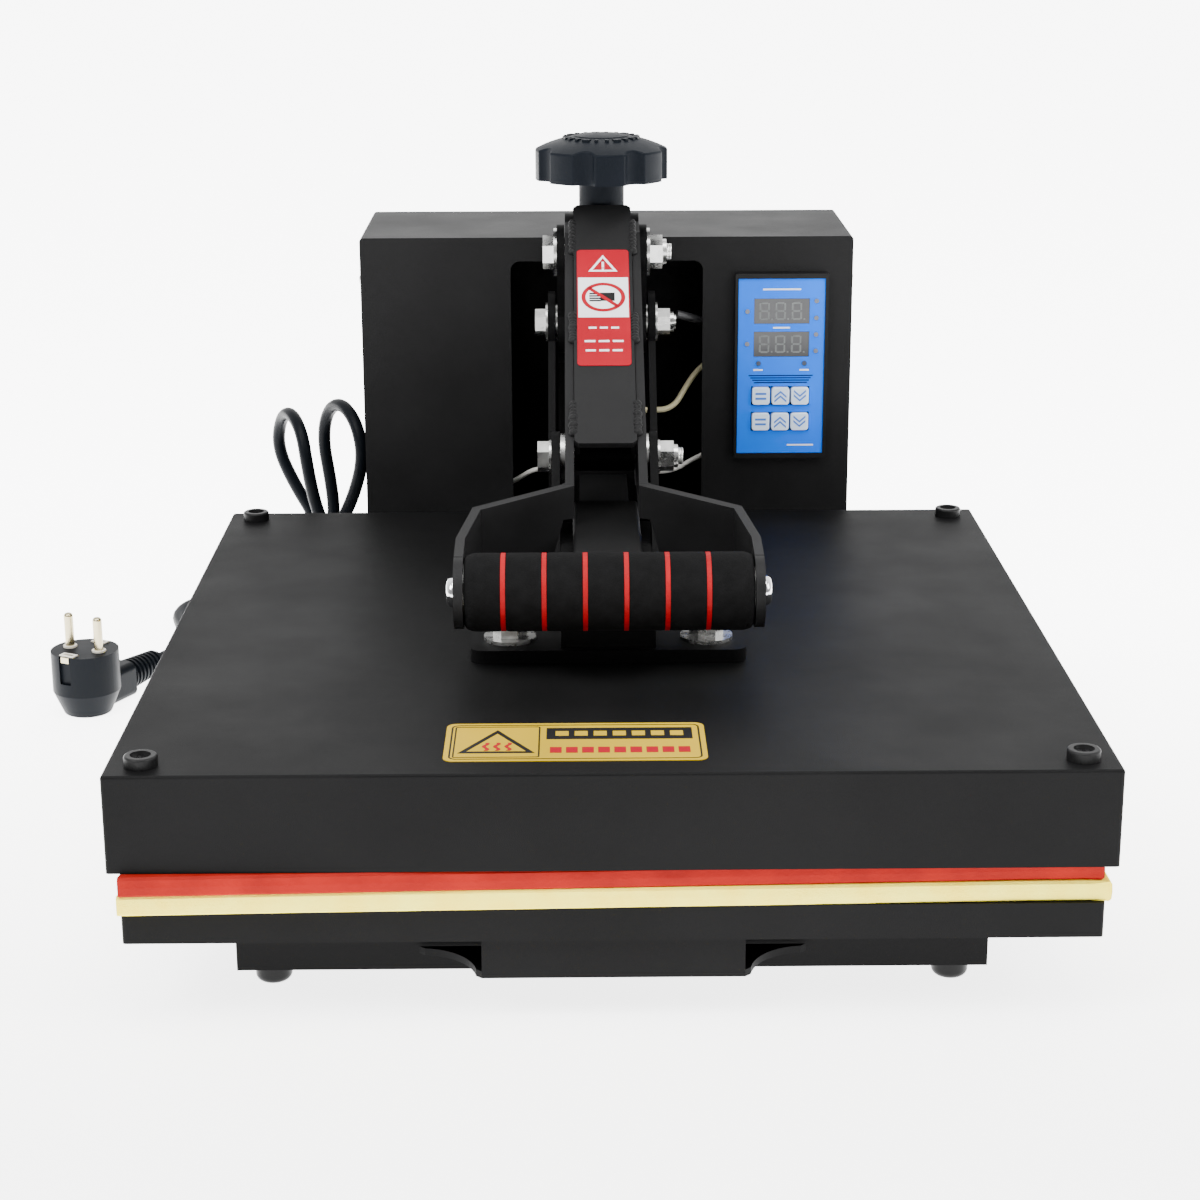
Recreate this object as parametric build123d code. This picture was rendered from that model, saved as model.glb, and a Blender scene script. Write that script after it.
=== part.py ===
from build123d import *
import os
from math import atan2, cos, degrees, hypot, radians, sin, tan

# Flat clamshell heat press. Millimetres, +Z up, front towards -Y, right towards +X.
# The origin is on the floor, under the middle of the machine without its power cord.
# Lengths behind the front face of the platen cover are turned into Y by behind().

# ---- driving dimensions ----
COVER_FRONT_Y = -253.5
COVER_SIZE = 392.0
COVER_TOP_Z = 107.0
COVER_HEIGHT = 40.0
COVER_SHEET = 1.5
CORNER_X = COVER_SIZE / 2 - 14
CORNER_BEHIND = (12.0, COVER_SIZE - 14)

TRAY_WIDTH = 384.0
TRAY_TOP_Z = 50.2
TRAY_BOTTOM_Z = 35.7
RIB_SPREAD_X = 110.0
FELT_THICK = 8.2
SILICONE_THICK = 8.2
LAYER_GAP = 0.1

FOOT_RADIUS = 7.5
FOOT_HEIGHT = 9.0
FOOT_SCREW_RADIUS = 2.0
FRONT_FOOT_X = 139.0
REAR_FOOT_X = 103.0
FRONT_FOOT_BEHIND = 48.0
REAR_FOOT_BEHIND = 450.0
BEAM_WIDTH = 104.0
BEAM_BOTTOM_Z = FOOT_HEIGHT + 9.0
BEAM_FRONT, BEAM_REAR, BEAM_WALL = 8.0, 480.0, 3.0
BAR_OVERHANG = 13.5
BAR_DEPTH = 24.0

BOX_CENTRE_X = 3.0
BOX_WIDTH = 258.6
BOX_FRONT = 410.0
BOX_BACK = 509.0
BOX_BOTTOM_Z = TRAY_BOTTOM_Z
BOX_TOP_Z = 250.0
BOX_SHEET = 1.2
SLOT_WIDTH = 101.0
SLOT_TOP_Z = 237.5

# Pivot centres of the pressing linkage: distance behind the cover's front, and height.
HANDLE_PIVOT = (376.0, 247.6)
ARM_PIVOT = (390.0, 209.0)
LINK_TOP = (271.0, 166.0)
LINK_FOOT = (221.0, 127.0)
GRIP_CENTRE = (118.0, 144.2)
PIVOT_RADIUS = 4.0
RUNNING_GAP = 0.05
SIDE_GAP = 0.3

# Layers of plate, outwards from the middle plane.
YOKE_INNER_X, YOKE_OUTER_X = 14.6, 18.6
UPRIGHT_INNER_X, UPRIGHT_OUTER_X = 19.0, 22.8
LINK_INNER_X, LINK_OUTER_X = 21.3, 25.2
ARM_INNER_X, ARM_OUTER_X = 24.0, 27.6
GRIP_HALF = 61.1
FOAM_RADIUS = 16.7
RING_COUNT, RING_PITCH, RING_SHIFT = 6, 17.25, -1.4
YOKE_END_INNER_X, YOKE_END_OUTER_X = 61.3, 65.3

TUBE_HALF_WIDTH = 15.2
TUBE_TOP_Z = 153.0
SHOE_HALF_WIDTH, SHOE_HEIGHT = 20.5, 14.0
FOOT_PLATE_Z = 113.0
STUD_SPREAD = 43.0
STUD_FRONT, STUD_REAR = 151.5, 239.0
FOOT_PLATE_FRONT, FOOT_PLATE_REAR = 133.5, 262.0

HOOD_HALF_WIDTH = 14.3
HOOD_LOW = (215.0, 185.6)
HOOD_HIGH = (362.0, 273.4)

KNOB_RADIUS = 33.3
KNOB_LOBES = 8
KNOB_RIM_Z = 285.0
KNOB_RIM_HEIGHT = 15.0
KNOB_DOME = 7.6
KNOB_HUB_RADIUS = 11.4
SCREW_RADIUS = 6.0

PANEL_CENTRE = (95.0, 181.5)
PANEL_WIDTH, PANEL_HEIGHT = 49.0, 99.0
BUTTON_SIZE = 9.4
BUTTON_COLUMNS = (-18.3, -7.9, 2.4)
BUTTON_ROWS = (-15.7, -29.6)

CORD_RADIUS = 3.5
HANK_BEHIND = 453.5
HANK_DEPTH = 53.0
GLAND_AT = (-106.0, 108.2)
PLUG_CENTRE = (-277.5, 381.5)
PLUG_RADIUS = 18.0
PLUG_HEIGHT = 35.0
PLUG_TURN = -27.0
RELIEF_END = 62.0
CORD_EXIT_Z = 10.0

OUT = "parts"
os.makedirs(OUT, exist_ok=True)


def behind(distance):
    """Y of a point this far behind the front face of the platen cover."""
    return COVER_FRONT_Y + distance


def save(node, *solids):
    """Write one sub-part, as one solid or as a group of separate solids."""
    flat = [body for item in solids for body in item.solids()]
    shape = flat[0] if len(flat) == 1 else Compound(children=flat)
    export_step(shape, os.path.join(OUT, node + ".step"))


def block(x0, x1, near, far, z0, z1):
    """Box between two X planes, two distances behind the cover's front, two heights."""
    size = Box(x1 - x0, far - near, z1 - z0)
    return Pos((x0 + x1) / 2, behind((near + far) / 2), (z0 + z1) / 2) * size


def rod_x(radius, x0, x1, place):
    """Cylinder along X from x0 to x1, centred on a side-view point."""
    distance, height = place
    middle = Pos((x0 + x1) / 2, behind(distance), height)
    return middle * Rot(0, 90, 0) * Cylinder(radius, abs(x1 - x0))


def rod_y(radius, near, far, place):
    """Cylinder along Y between two distances, centred on a front-view point."""
    x, height = place
    return Pos(x, behind((near + far) / 2), height) * Rot(90, 0, 0) * Cylinder(radius, far - near)


def hex_x(across_flats, x0, x1, place):
    """Hexagonal prism along X."""
    distance, height = place
    outline = RegularPolygon(across_flats / 2, 6, major_radius=False)
    prism = extrude(outline, abs(x1 - x0))
    return Pos(min(x0, x1), behind(distance), height) * Rot(0, 90, 0) * prism


def rod_z(radius, z0, z1, x, distance):
    """Upright cylinder between two heights."""
    return Pos(x, behind(distance), (z0 + z1) / 2) * Cylinder(radius, z1 - z0)


def hex_z(across_flats, z0, z1, x, distance):
    """Upright hexagonal prism between two heights."""
    outline = RegularPolygon(across_flats / 2, 6, major_radius=False)
    return Pos(x, behind(distance), z0) * extrude(outline, z1 - z0)


def side_face(points):
    """Face in the side view, from (distance behind the front, height) points."""
    corners = [(behind(distance), height) for distance, height in points]
    return Plane.YZ * Polygon(*corners, align=None)


def side_disc(radius, place):
    """Round face in the side view."""
    distance, height = place
    return Plane.YZ * (Pos(behind(distance), height) * Circle(radius))


def side_plate(points, discs, holes, x0, x1):
    """Flat plate parallel to the side view: an outline, round ends and bored holes."""
    half = (x1 - x0) / 2
    outline = extrude(side_face(points), half, both=True)
    for radius, place in discs:
        outline += extrude(side_disc(radius, place), half, both=True)
    plate = Pos((x0 + x1) / 2, 0, 0) * outline
    for radius, place in holes:
        plate -= rod_x(radius, x0 - 1, x1 + 1, place)
    return plate


def mirrored(shape):
    """The same shape on the other side of the middle plane."""
    return mirror(shape, about=Plane.YZ)


# ---- base ----
def make_feet():
    feet, screws = [], []
    for spread, distance in ((FRONT_FOOT_X, FRONT_FOOT_BEHIND), (REAR_FOOT_X, REAR_FOOT_BEHIND)):
        for x in (-spread, spread):
            foot = rod_z(FOOT_RADIUS, 0, FOOT_HEIGHT, x, distance)
            foot = fillet(foot.edges().group_by(Axis.Z)[0], 3.0)
            foot -= rod_z(FOOT_SCREW_RADIUS + RUNNING_GAP, 2.5, FOOT_HEIGHT + 1, x, distance)
            feet.append(foot)
            screws.append(rod_z(FOOT_SCREW_RADIUS, 2.6, FOOT_HEIGHT + 6, x, distance))
    save("rubber_feet", *feet)
    save("foot_screws", *screws)


def cross_bar(foot_x, distance):
    """Rectangular tube across the machine, bored for its two foot screws."""
    half = foot_x + BAR_OVERHANG
    near, far = distance - BAR_DEPTH / 2, distance + BAR_DEPTH / 2
    bar = block(-half, half, near, far, FOOT_HEIGHT, TRAY_BOTTOM_Z)
    wall = 2
    bar -= block(-half - 1, half + 1, near + wall, far - wall, FOOT_HEIGHT + wall, TRAY_BOTTOM_Z - wall)
    bar -= block(-BEAM_WIDTH / 2, BEAM_WIDTH / 2, near - 1, far + 1, BEAM_BOTTOM_Z, TRAY_BOTTOM_Z + 1)
    for x in (-foot_x, foot_x):
        bar -= rod_z(FOOT_SCREW_RADIUS + RUNNING_GAP, FOOT_HEIGHT - 1, FOOT_HEIGHT + 3, x, distance)
    return bar


def make_base():
    half = BEAM_WIDTH / 2
    bottom, top, wall = BEAM_BOTTOM_Z, TRAY_BOTTOM_Z, BEAM_WALL
    beam = block(-half, half, BEAM_FRONT, BEAM_REAR, bottom, top)
    beam -= block(-half + wall, half - wall, BEAM_FRONT + wall, BEAM_REAR + 1, bottom - 1, top - wall)
    reach, depth = 26, 24
    gusset = Polygon((half, 0), (half + reach, depth), (half, depth), align=None)
    corner = extrude(gusset, wall / 2, both=True)
    corner -= Pos(half + reach, -2, 0) * Cylinder(depth, wall + 2)
    right = Pos(0, behind(BEAM_FRONT), bottom + wall / 2) * corner
    bars = cross_bar(FRONT_FOOT_X, FRONT_FOOT_BEHIND) + cross_bar(REAR_FOOT_X, REAR_FOOT_BEHIND)
    save("base_frame", beam + bars + right + mirrored(right))


def make_tray():
    half = TRAY_WIDTH / 2
    near, far, sheet = 4, 4 + TRAY_WIDTH, 2
    tray = block(-half, half, near, far, TRAY_BOTTOM_Z, TRAY_TOP_Z)
    tray = fillet(tray.edges().filter_by(Axis.Z), 1.5)
    tray -= block(-half + sheet, half - sheet, near + sheet, far - sheet, TRAY_BOTTOM_Z - 1, TRAY_TOP_Z - sheet)
    for x in (-RIB_SPREAD_X, RIB_SPREAD_X):
        tray += block(x - 1, x + 1, near + 1, far - 1, TRAY_BOTTOM_Z, TRAY_TOP_Z - 1)
    save("lower_tray", tray)


def pad(corners, z0, thickness):
    """Hand-cut pad: four corners as X and distance behind the front."""
    outline = Polygon(*[(x, behind(distance)) for x, distance in corners], align=None)
    sheet = extrude(outline, thickness / 2, both=True)
    sheet = fillet(sheet.edges().filter_by(Axis.Z), 2.0)
    return Pos(0, 0, z0 + thickness / 2) * sheet


def make_pads():
    felt = [(-192.5, -4.0), (195.5, 5.0), (193.5, 388.0), (-194.5, 383.0)]
    silicone = [(-191.5, -5.0), (192.5, 6.5), (191.0, 385.0), (-192.5, 379.0)]
    felt_z = TRAY_TOP_Z + LAYER_GAP
    save("felt_pad", pad(felt, felt_z, FELT_THICK))
    save("silicone_pad", pad(silicone, felt_z + FELT_THICK + LAYER_GAP, SILICONE_THICK))


def make_uprights():
    outline = [(365, 240), (376, 212), (402, 185), (402, TRAY_BOTTOM_Z), (448, TRAY_BOTTOM_Z),
               (448, 205), (387, 255)]
    discs = [(14.0, HANDLE_PIVOT), (16.0, ARM_PIVOT)]
    hole = PIVOT_RADIUS + RUNNING_GAP
    holes = [(hole, HANDLE_PIVOT), (hole, ARM_PIVOT)]
    right = side_plate(outline, discs, holes, UPRIGHT_INNER_X, UPRIGHT_OUTER_X)
    inner = UPRIGHT_INNER_X
    frame = right + mirrored(right) + block(-inner, inner, 436, 442, 60, 120)
    bolts = []
    for side in (-1, 1):
        x0, x1 = sorted((side * UPRIGHT_OUTER_X, side * 46))
        foot = block(x0, x1, 406, 444, TRAY_BOTTOM_Z, TRAY_BOTTOM_Z + 5)
        for distance in (414, 436):
            foot -= rod_z(3.05, TRAY_BOTTOM_Z - 1, TRAY_BOTTOM_Z + 6, side * 36, distance)
            bolts.append(hex_z(10, TRAY_BOTTOM_Z + 5, TRAY_BOTTOM_Z + 9, side * 36, distance)
                         + rod_z(3.0, TRAY_BOTTOM_Z, TRAY_BOTTOM_Z + 6, side * 36, distance))
        frame += foot
    save("upright_frame", frame)
    save("upright_bolts", *bolts)


def pivot_bolt(place, head_x, nut_x, tip_x, across_flats):
    """Bolt along X: head on the left, nut and stud end on the right."""
    head = hex_x(across_flats, -head_x - 5.5, -head_x, place)
    nut = hex_x(across_flats, nut_x, nut_x + 6.5, place)
    collar = rod_x(across_flats * 0.43, nut_x + 6.5, nut_x + 8.5, place)
    return head + rod_x(PIVOT_RADIUS, -head_x, tip_x, place) + nut + collar


def washer_pair(outer, place, x0, x1):
    """Two equal washers, one each side of the middle plane."""
    right = rod_x(outer, x0, x1, place) - rod_x(PIVOT_RADIUS + RUNNING_GAP, x0 - 1, x1 + 1, place)
    return right, mirrored(right)


def make_fixed_pivots():
    thick = 1.6
    seat = UPRIGHT_OUTER_X + thick
    save("handle_pivot_bolt", pivot_bolt(HANDLE_PIVOT, seat, seat, 35.5, 15),
         *washer_pair(12, HANDLE_PIVOT, UPRIGHT_OUTER_X, seat))
    outer = ARM_OUTER_X + SIDE_GAP
    inner_pair = washer_pair(10, ARM_PIVOT, UPRIGHT_OUTER_X, ARM_INNER_X - SIDE_GAP)
    save("arm_pivot_bolt", pivot_bolt(ARM_PIVOT, outer + 1, outer + 1, 38.5, 12),
         *inner_pair, *washer_pair(10, ARM_PIVOT, outer, outer + 1))


# ---- control box ----
def make_box():
    x0, x1 = BOX_CENTRE_X - BOX_WIDTH / 2, BOX_CENTRE_X + BOX_WIDTH / 2
    sheet = BOX_SHEET
    wrap = block(x0, x1, BOX_FRONT, BOX_BACK, BOX_BOTTOM_Z, BOX_TOP_Z)
    wrap = fillet(wrap.edges().filter_by(Axis.Y).group_by(Axis.Z)[-1], 2.0)
    hollow = block(x0 + sheet, x1 - sheet, BOX_FRONT - 1, BOX_BACK + 1, BOX_BOTTOM_Z - 1, BOX_TOP_Z - sheet)
    wrap -= hollow
    save("box_cover", wrap)
    inner0, inner1 = x0 + sheet, x1 - sheet
    front = block(inner0, inner1, BOX_FRONT, BOX_FRONT + sheet, BOX_BOTTOM_Z, BOX_TOP_Z - sheet)
    slot_half = SLOT_WIDTH / 2
    slot = block(BOX_CENTRE_X - slot_half, BOX_CENTRE_X + slot_half,
                 BOX_FRONT - 1, BOX_FRONT + sheet + 1, BOX_BOTTOM_Z - 1, SLOT_TOP_Z)
    front -= fillet(slot.edges().filter_by(Axis.Y).group_by(Axis.Z)[-1], 5.0)
    px, pz = PANEL_CENTRE
    front -= block(px - 22.3, px + 22.3, BOX_FRONT - 1, BOX_FRONT + sheet + 1, pz - 45.3, pz + 45.3)
    save("box_front", front)
    back = block(inner0, inner1, BOX_BACK - sheet, BOX_BACK, BOX_BOTTOM_Z, BOX_TOP_Z - sheet)
    back -= block(72, 94, BOX_BACK - 3, BOX_BACK + 1, 70, 98)
    back -= rod_y(6.1, BOX_BACK - 3, BOX_BACK + 3, (110, 84)) + rod_y(6.1, BOX_BACK - 3, BOX_BACK + 3, GLAND_AT)
    for height in (150, 162, 174, 186, 198):
        back -= block(-118, -68, BOX_BACK - 3, BOX_BACK + 1, height, height + 3)
    floor = block(inner0, inner1, BOX_FRONT + sheet, BOX_BACK - sheet, BOX_BOTTOM_Z, BOX_BOTTOM_Z + sheet)
    floor -= block(-48, 48, BOX_FRONT, 450, BOX_BOTTOM_Z - 1, BOX_BOTTOM_Z + 3)
    save("box_back", back + floor)


def make_power_entry():
    pivot, pivot_radius = (BOX_BACK - 4, 84), 1.2
    body = block(72.2, 93.8, BOX_BACK - 26, BOX_BACK, 70.2, 97.8)
    body += block(70, 96, BOX_BACK, BOX_BACK + 1.5, 68, 100)
    body -= block(74.5, 91.5, BOX_BACK - 12, BOX_BACK + 3, 73, 95)
    body -= rod_x(pivot_radius + RUNNING_GAP, 73.4, 92.6, pivot)
    save("switch_body", body)
    rocker_points = [(BOX_BACK - 7, 84 - 9.6), (BOX_BACK + 0.4, 84 - 9.6), (BOX_BACK - 1.2, 84),
                     (BOX_BACK + 0.4, 84 + 9.6), (BOX_BACK - 7, 84 + 9.6)]
    rocker = side_plate(rocker_points, [], [], 75, 91) + rod_x(pivot_radius, 73.6, 92.4, pivot)
    save("switch_rocker", rocker)
    fuse = rod_y(6.0, BOX_BACK - 22, BOX_BACK + 2, (110, 84)) + rod_y(8.0, BOX_BACK, BOX_BACK + 3, (110, 84))
    save("fuse_holder", fuse)


def make_controller():
    px, pz = PANEL_CENTRE
    half_w, half_h = PANEL_WIDTH / 2, PANEL_HEIGHT / 2
    near = BOX_FRONT - 4
    bezel = block(px - half_w, px + half_w, near, BOX_FRONT, pz - half_h, pz + half_h)
    bezel = fillet(bezel.edges().filter_by(Axis.Y), 1.0)
    bezel -= block(px - half_w + 1.6, px + half_w - 1.6, near - 1, BOX_FRONT + 1,
                   pz - half_h + 2.6, pz + half_h - 2.6)
    save("controller_bezel", bezel)
    face = block(px - half_w + 1.7, px + half_w - 1.7, near + 0.6, near + 2.1,
                 pz - half_h + 2.7, pz + half_h - 2.7)
    windows = []
    for height in (pz + 29.6, pz + 12.0):
        opening = block(px - 14.6, px + 14.8, near, near + 3, height - 6.8, height + 6.8)
        face -= opening
        windows.append(block(px - 14.5, px + 14.7, near + 0.9, near + 2.1, height - 6.7, height + 6.7))
    holes = (BUTTON_SIZE + 0.8) / 2
    for row in BUTTON_ROWS:
        for column in BUTTON_COLUMNS:
            x, z = px + column + 7.9, pz + row
            face -= block(x - holes, x + holes, near, near + 3, z - holes, z + holes)
    save("controller_faceplate", face)
    save("display_windows", *windows)
    make_buttons(px, pz, near)
    case = block(px - 22, px + 22, near + 6, near + 70, pz - 45, pz + 45)
    case -= block(px - 20, px + 20, near + 5, near + 68, pz - 43, pz + 43)
    save("controller_case", case)


def make_buttons(px, pz, near):
    half = BUTTON_SIZE / 2
    for row, line in zip(BUTTON_ROWS, ("temperature", "time")):
        for column, kind in zip(BUTTON_COLUMNS, ("select", "up", "down")):
            x, z = px + column + 7.9, pz + row
            cap = block(x - half, x + half, near - 0.8, near + 3.5, z - half, z + half)
            cap = fillet(cap.edges().filter_by(Axis.Y), 1.6)
            cap = fillet(cap.faces().sort_by(Axis.Y)[0].edges(), 0.5)
            save(f"{line}_{kind}_button", cap)


def make_electrics():
    relay = block(-100, -55, 462, 488, BOX_BOTTOM_Z + BOX_SHEET, BOX_BOTTOM_Z + 60)
    for height in range(48, 88, 8):
        relay -= block(-101, -54, 482, 489, height, height + 4)
    terminal = block(60, 116, 440, 462, BOX_BOTTOM_Z + BOX_SHEET, BOX_BOTTOM_Z + 16)
    for x in range(66, 116, 12):
        terminal -= rod_z(3, BOX_BOTTOM_Z + 10, BOX_BOTTOM_Z + 20, x, 451)
    save("box_electrics", relay, terminal)


def wire(route, radius):
    """Round wire along straight runs joined by tangent arcs."""
    points = [Vector(x, behind(distance), z) for x, distance, z in route]
    radii = []
    for before, corner, after in zip(points, points[1:], points[2:]):
        turn = radians((corner - before).get_angle(after - corner))
        shorter = min((corner - before).length, (after - corner).length)
        radii.append(0.45 * shorter / tan(turn / 2))
    path = FilletPolyline(*points, radius=radii)
    print("tube radius", radius, "bends", [round(value, 1) for value in radii])
    section = Plane(origin=path @ 0, z_dir=path % 0) * Circle(radius)
    return sweep(section, path=path)


def make_wiring():
    outer = UPRIGHT_OUTER_X
    right = [(70, 430, 134), (54, 423, 130), (38, 418, 122), (outer, 418, 122)]
    left = [(-70, 440, 104), (-50, 424, 114), (-36, 418, 124), (-outer, 418, 124)]
    sleeve = [(70, 436, 186), (52, 424, 178), (38, 418, 156), (outer, 418, 156)]
    upper = [(70, 452, 180), (64, 434, 195), (53, 421, 204), (40, 417, 208)]
    save("box_wiring", wire(right, 1.3), wire(left, 1.3), wire(sleeve, 1.5), wire(upper, 2.2))


# ---- lifting arm and heated platen ----
def make_arm():
    half, top, bottom = TUBE_HALF_WIDTH, TUBE_TOP_Z, FOOT_PLATE_Z
    wall, tube_front, tube_end = 3, 137, 236
    tube = block(-half, half, tube_front, tube_end, bottom, top)
    tube = fillet(tube.edges().filter_by(Axis.Y), 2.0)
    tube -= block(-half + wall, half - wall, tube_front + wall, tube_end + 1, bottom + wall, top - wall)
    boss = rod_x(10, half - 1, LINK_INNER_X - SIDE_GAP, LINK_FOOT)
    shoe = block(-SHOE_HALF_WIDTH, SHOE_HALF_WIDTH, tube_front, 205, bottom, bottom + SHOE_HEIGHT)
    shoe -= block(-half + wall, half - wall, tube_front + wall, 206, bottom + wall, bottom + SHOE_HEIGHT + 1)
    save("arm_tube", tube + shoe + boss + mirrored(boss))
    tail = block(-half + 3.2, half - 3.2, 200, 344, bottom + 3.2, bottom + 26)
    tail -= block(-half + 6, half - 6, 203, 345, bottom + 6, bottom + 23)
    inner = ARM_INNER_X
    cross = block(-inner, inner, 344, 350, bottom + 1, bottom + 34)
    outline = [(376, 202), (330, 152), (330, bottom + 1), (382, bottom + 1), (404, 200)]
    hole = PIVOT_RADIUS + RUNNING_GAP
    right = side_plate(outline, [(16.0, ARM_PIVOT)], [(hole, ARM_PIVOT)], inner, ARM_OUTER_X)
    save("arm_hinge_plates", tail + cross + right + mirrored(right))
    make_foot_plate()


def make_foot_plate():
    plate = block(-60, 60, FOOT_PLATE_FRONT, FOOT_PLATE_REAR, COVER_TOP_Z, FOOT_PLATE_Z)
    plate = fillet(plate.edges().filter_by(Axis.Z), 6.0)
    studs, washers = [], []
    for x in (-STUD_SPREAD, STUD_SPREAD):
        for distance in (STUD_FRONT, STUD_REAR):
            plate -= rod_z(4.05, COVER_TOP_Z - 1, FOOT_PLATE_Z + 1, x, distance)
            washer = rod_z(11.5, FOOT_PLATE_Z, FOOT_PLATE_Z + 1.6, x, distance)
            washers.append(washer - rod_z(4.05, FOOT_PLATE_Z - 1, FOOT_PLATE_Z + 3, x, distance))
            top = FOOT_PLATE_Z + 1.6
            stud = rod_z(4.0, 84, top + 9.5, x, distance) + hex_z(13, top, top + 6.3, x, distance)
            studs.append(stud)
    save("foot_plate", plate)
    save("platen_studs", *studs, *washers)


def make_cover():
    half, sheet = COVER_SIZE / 2, COVER_SHEET
    bottom = COVER_TOP_Z - COVER_HEIGHT
    cover = block(-half, half, 0, COVER_SIZE, bottom, COVER_TOP_Z)
    cover = fillet(cover.edges().filter_by(Axis.Z), 1.5)
    cover = fillet(cover.faces().sort_by(Axis.Z)[-1].edges(), 1.2)
    cover -= block(-half + sheet, half - sheet, sheet, COVER_SIZE - sheet, bottom - 1, COVER_TOP_Z - sheet)
    for x in (-STUD_SPREAD, STUD_SPREAD):
        for distance in (STUD_FRONT, STUD_REAR):
            cover -= rod_z(4.05, COVER_TOP_Z - 3, COVER_TOP_Z + 1, x, distance)
    caps, screws = [], []
    for x in (-CORNER_X, CORNER_X):
        for distance in CORNER_BEHIND:
            cover -= rod_z(2.6, COVER_TOP_Z - 3, COVER_TOP_Z + 1, x, distance)
            cap = rod_z(6.6, COVER_TOP_Z, COVER_TOP_Z + 4.6, x, distance)
            cap = fillet(cap.faces().sort_by(Axis.Z)[-1].edges(), 1.0)
            caps.append(cap - rod_z(4.1, COVER_TOP_Z - 1, COVER_TOP_Z + 6, x, distance))
            screw = rod_z(4.0, COVER_TOP_Z, COVER_TOP_Z + 3.0, x, distance)
            screws.append(screw + rod_z(2.5, 85, COVER_TOP_Z + 1, x, distance))
    save("platen_cover", cover)
    save("corner_caps", *caps)
    save("corner_screws", *screws)


def make_platen():
    half = COVER_SIZE / 2 - 4
    low = COVER_TOP_Z - COVER_HEIGHT + 0.2
    platen = block(-half, half, 4, COVER_SIZE - 4, low, 84)
    groove = rod_z(140, 74, 85, 0, COVER_SIZE / 2) - rod_z(128, 73, 86, 0, COVER_SIZE / 2)
    platen -= groove
    for x in (-CORNER_X, CORNER_X):
        for distance in CORNER_BEHIND:
            platen += rod_z(4.5, 83, COVER_TOP_Z - COVER_SHEET, x, distance)
            platen -= rod_z(2.55, 84.5, COVER_TOP_Z, x, distance)
    save("heating_platen", platen)
    element = rod_z(138, 74.2, 83.8, 0, COVER_SIZE / 2) - rod_z(130, 74, 84, 0, COVER_SIZE / 2)
    element -= block(-9, 9, COVER_SIZE / 2 + 100, COVER_SIZE / 2 + 150, 73, 85)
    save("heating_element", element)
    wool = block(-half + 14, half - 14, 22, COVER_SIZE - 24, 84.2, COVER_TOP_Z - COVER_SHEET - 0.2)
    for x in (-STUD_SPREAD, STUD_SPREAD):
        for distance in (STUD_FRONT, STUD_REAR):
            wool -= rod_z(4.3, 83, COVER_TOP_Z, x, distance)
    save("insulation_blanket", wool)
    label = block(-66, 37, 13.5, 56.5, COVER_TOP_Z, COVER_TOP_Z + 0.3)
    save("caution_plate", fillet(label.edges().filter_by(Axis.Z), 4.0))


# ---- handle ----
def strip(points, thickness):
    """Plan-view outline of a bent flat bar that follows a centre line of (X, distance) points."""
    line = [Vector(x, behind(distance)) for x, distance in points]
    left, right = [], []
    for index, point in enumerate(line):
        before = (point - line[index - 1]).normalized() if index else None
        after = (line[index + 1] - point).normalized() if index + 1 < len(line) else None
        heading = (before or after) + (after or before)
        heading = heading.normalized()
        stretch = 1 / cos(radians(heading.get_angle(after or before)))
        side = Vector(-heading.Y, heading.X) * (thickness / 2 * stretch)
        left.append(point + side)
        right.append(point - side)
    outline = left + right[::-1]
    return Polygon(*[(corner.X, corner.Y) for corner in outline], align=None)


def make_yoke():
    profile = [(346, 262), (376, 266), (390, 236), (281, 156.5), (262, 155.3), (236, 156.2), (190, 156.2),
               (187, 138), (145, 130), (120, 129), (104, 142), (106, 153), (118, 160), (170, 167),
               (194, 171.5)]
    centre_x = (YOKE_INNER_X + YOKE_OUTER_X) / 2
    end_x = (YOKE_END_INNER_X + YOKE_END_OUTER_X) / 2
    plan = strip([(centre_x, 400), (centre_x, 194), (57.5, 170), (end_x, 137), (end_x, 98)],
                 YOKE_OUTER_X - YOKE_INNER_X)
    curtain = extrude(plan, 400, both=True)
    side = side_plate(profile, [(20.0, HANDLE_PIVOT), (14.0, LINK_TOP), (15.5, GRIP_CENTRE)],
                      [(PIVOT_RADIUS + RUNNING_GAP, HANDLE_PIVOT), (PIVOT_RADIUS + RUNNING_GAP, LINK_TOP),
                       (3.05, GRIP_CENTRE)], 1, 90)
    right = side & curtain
    save("right_yoke_plate", right)
    save("left_yoke_plate", mirrored(right))


def make_hood():
    run, rise = HOOD_HIGH[0] - HOOD_LOW[0], HOOD_HIGH[1] - HOOD_LOW[1]
    length, slope = hypot(run, rise), degrees(atan2(rise, run))
    half = HOOD_HALF_WIDTH
    web = Box(2 * half, length, 3, align=(Align.CENTER, Align.MIN, Align.MAX))
    web = chamfer(web.edges().filter_by(Axis.Z), 2.0)
    leg = Box(2.5, length - 8, 9, align=(Align.MIN, Align.MIN, Align.MAX))
    legs = Pos(-half, 4, -2) * leg + Pos(half - 2.5, 4, -2) * leg
    tilt = Pos(0, behind(HOOD_LOW[0]), HOOD_LOW[1]) * Rot(slope, 0, 0)
    spacer = rod_x(7.0, -half, half, LINK_TOP) - rod_x(PIVOT_RADIUS + RUNNING_GAP, -half - 1, half + 1, LINK_TOP)
    save("handle_hood", tilt * (web + legs), spacer)
    label = Pos(0, 52, 0) * Box(25.4, 84, 0.3, align=(Align.CENTER, Align.MIN, Align.MIN))
    label = fillet(label.edges().filter_by(Axis.Z), 2.0)
    save("warning_label", tilt * label)


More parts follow.
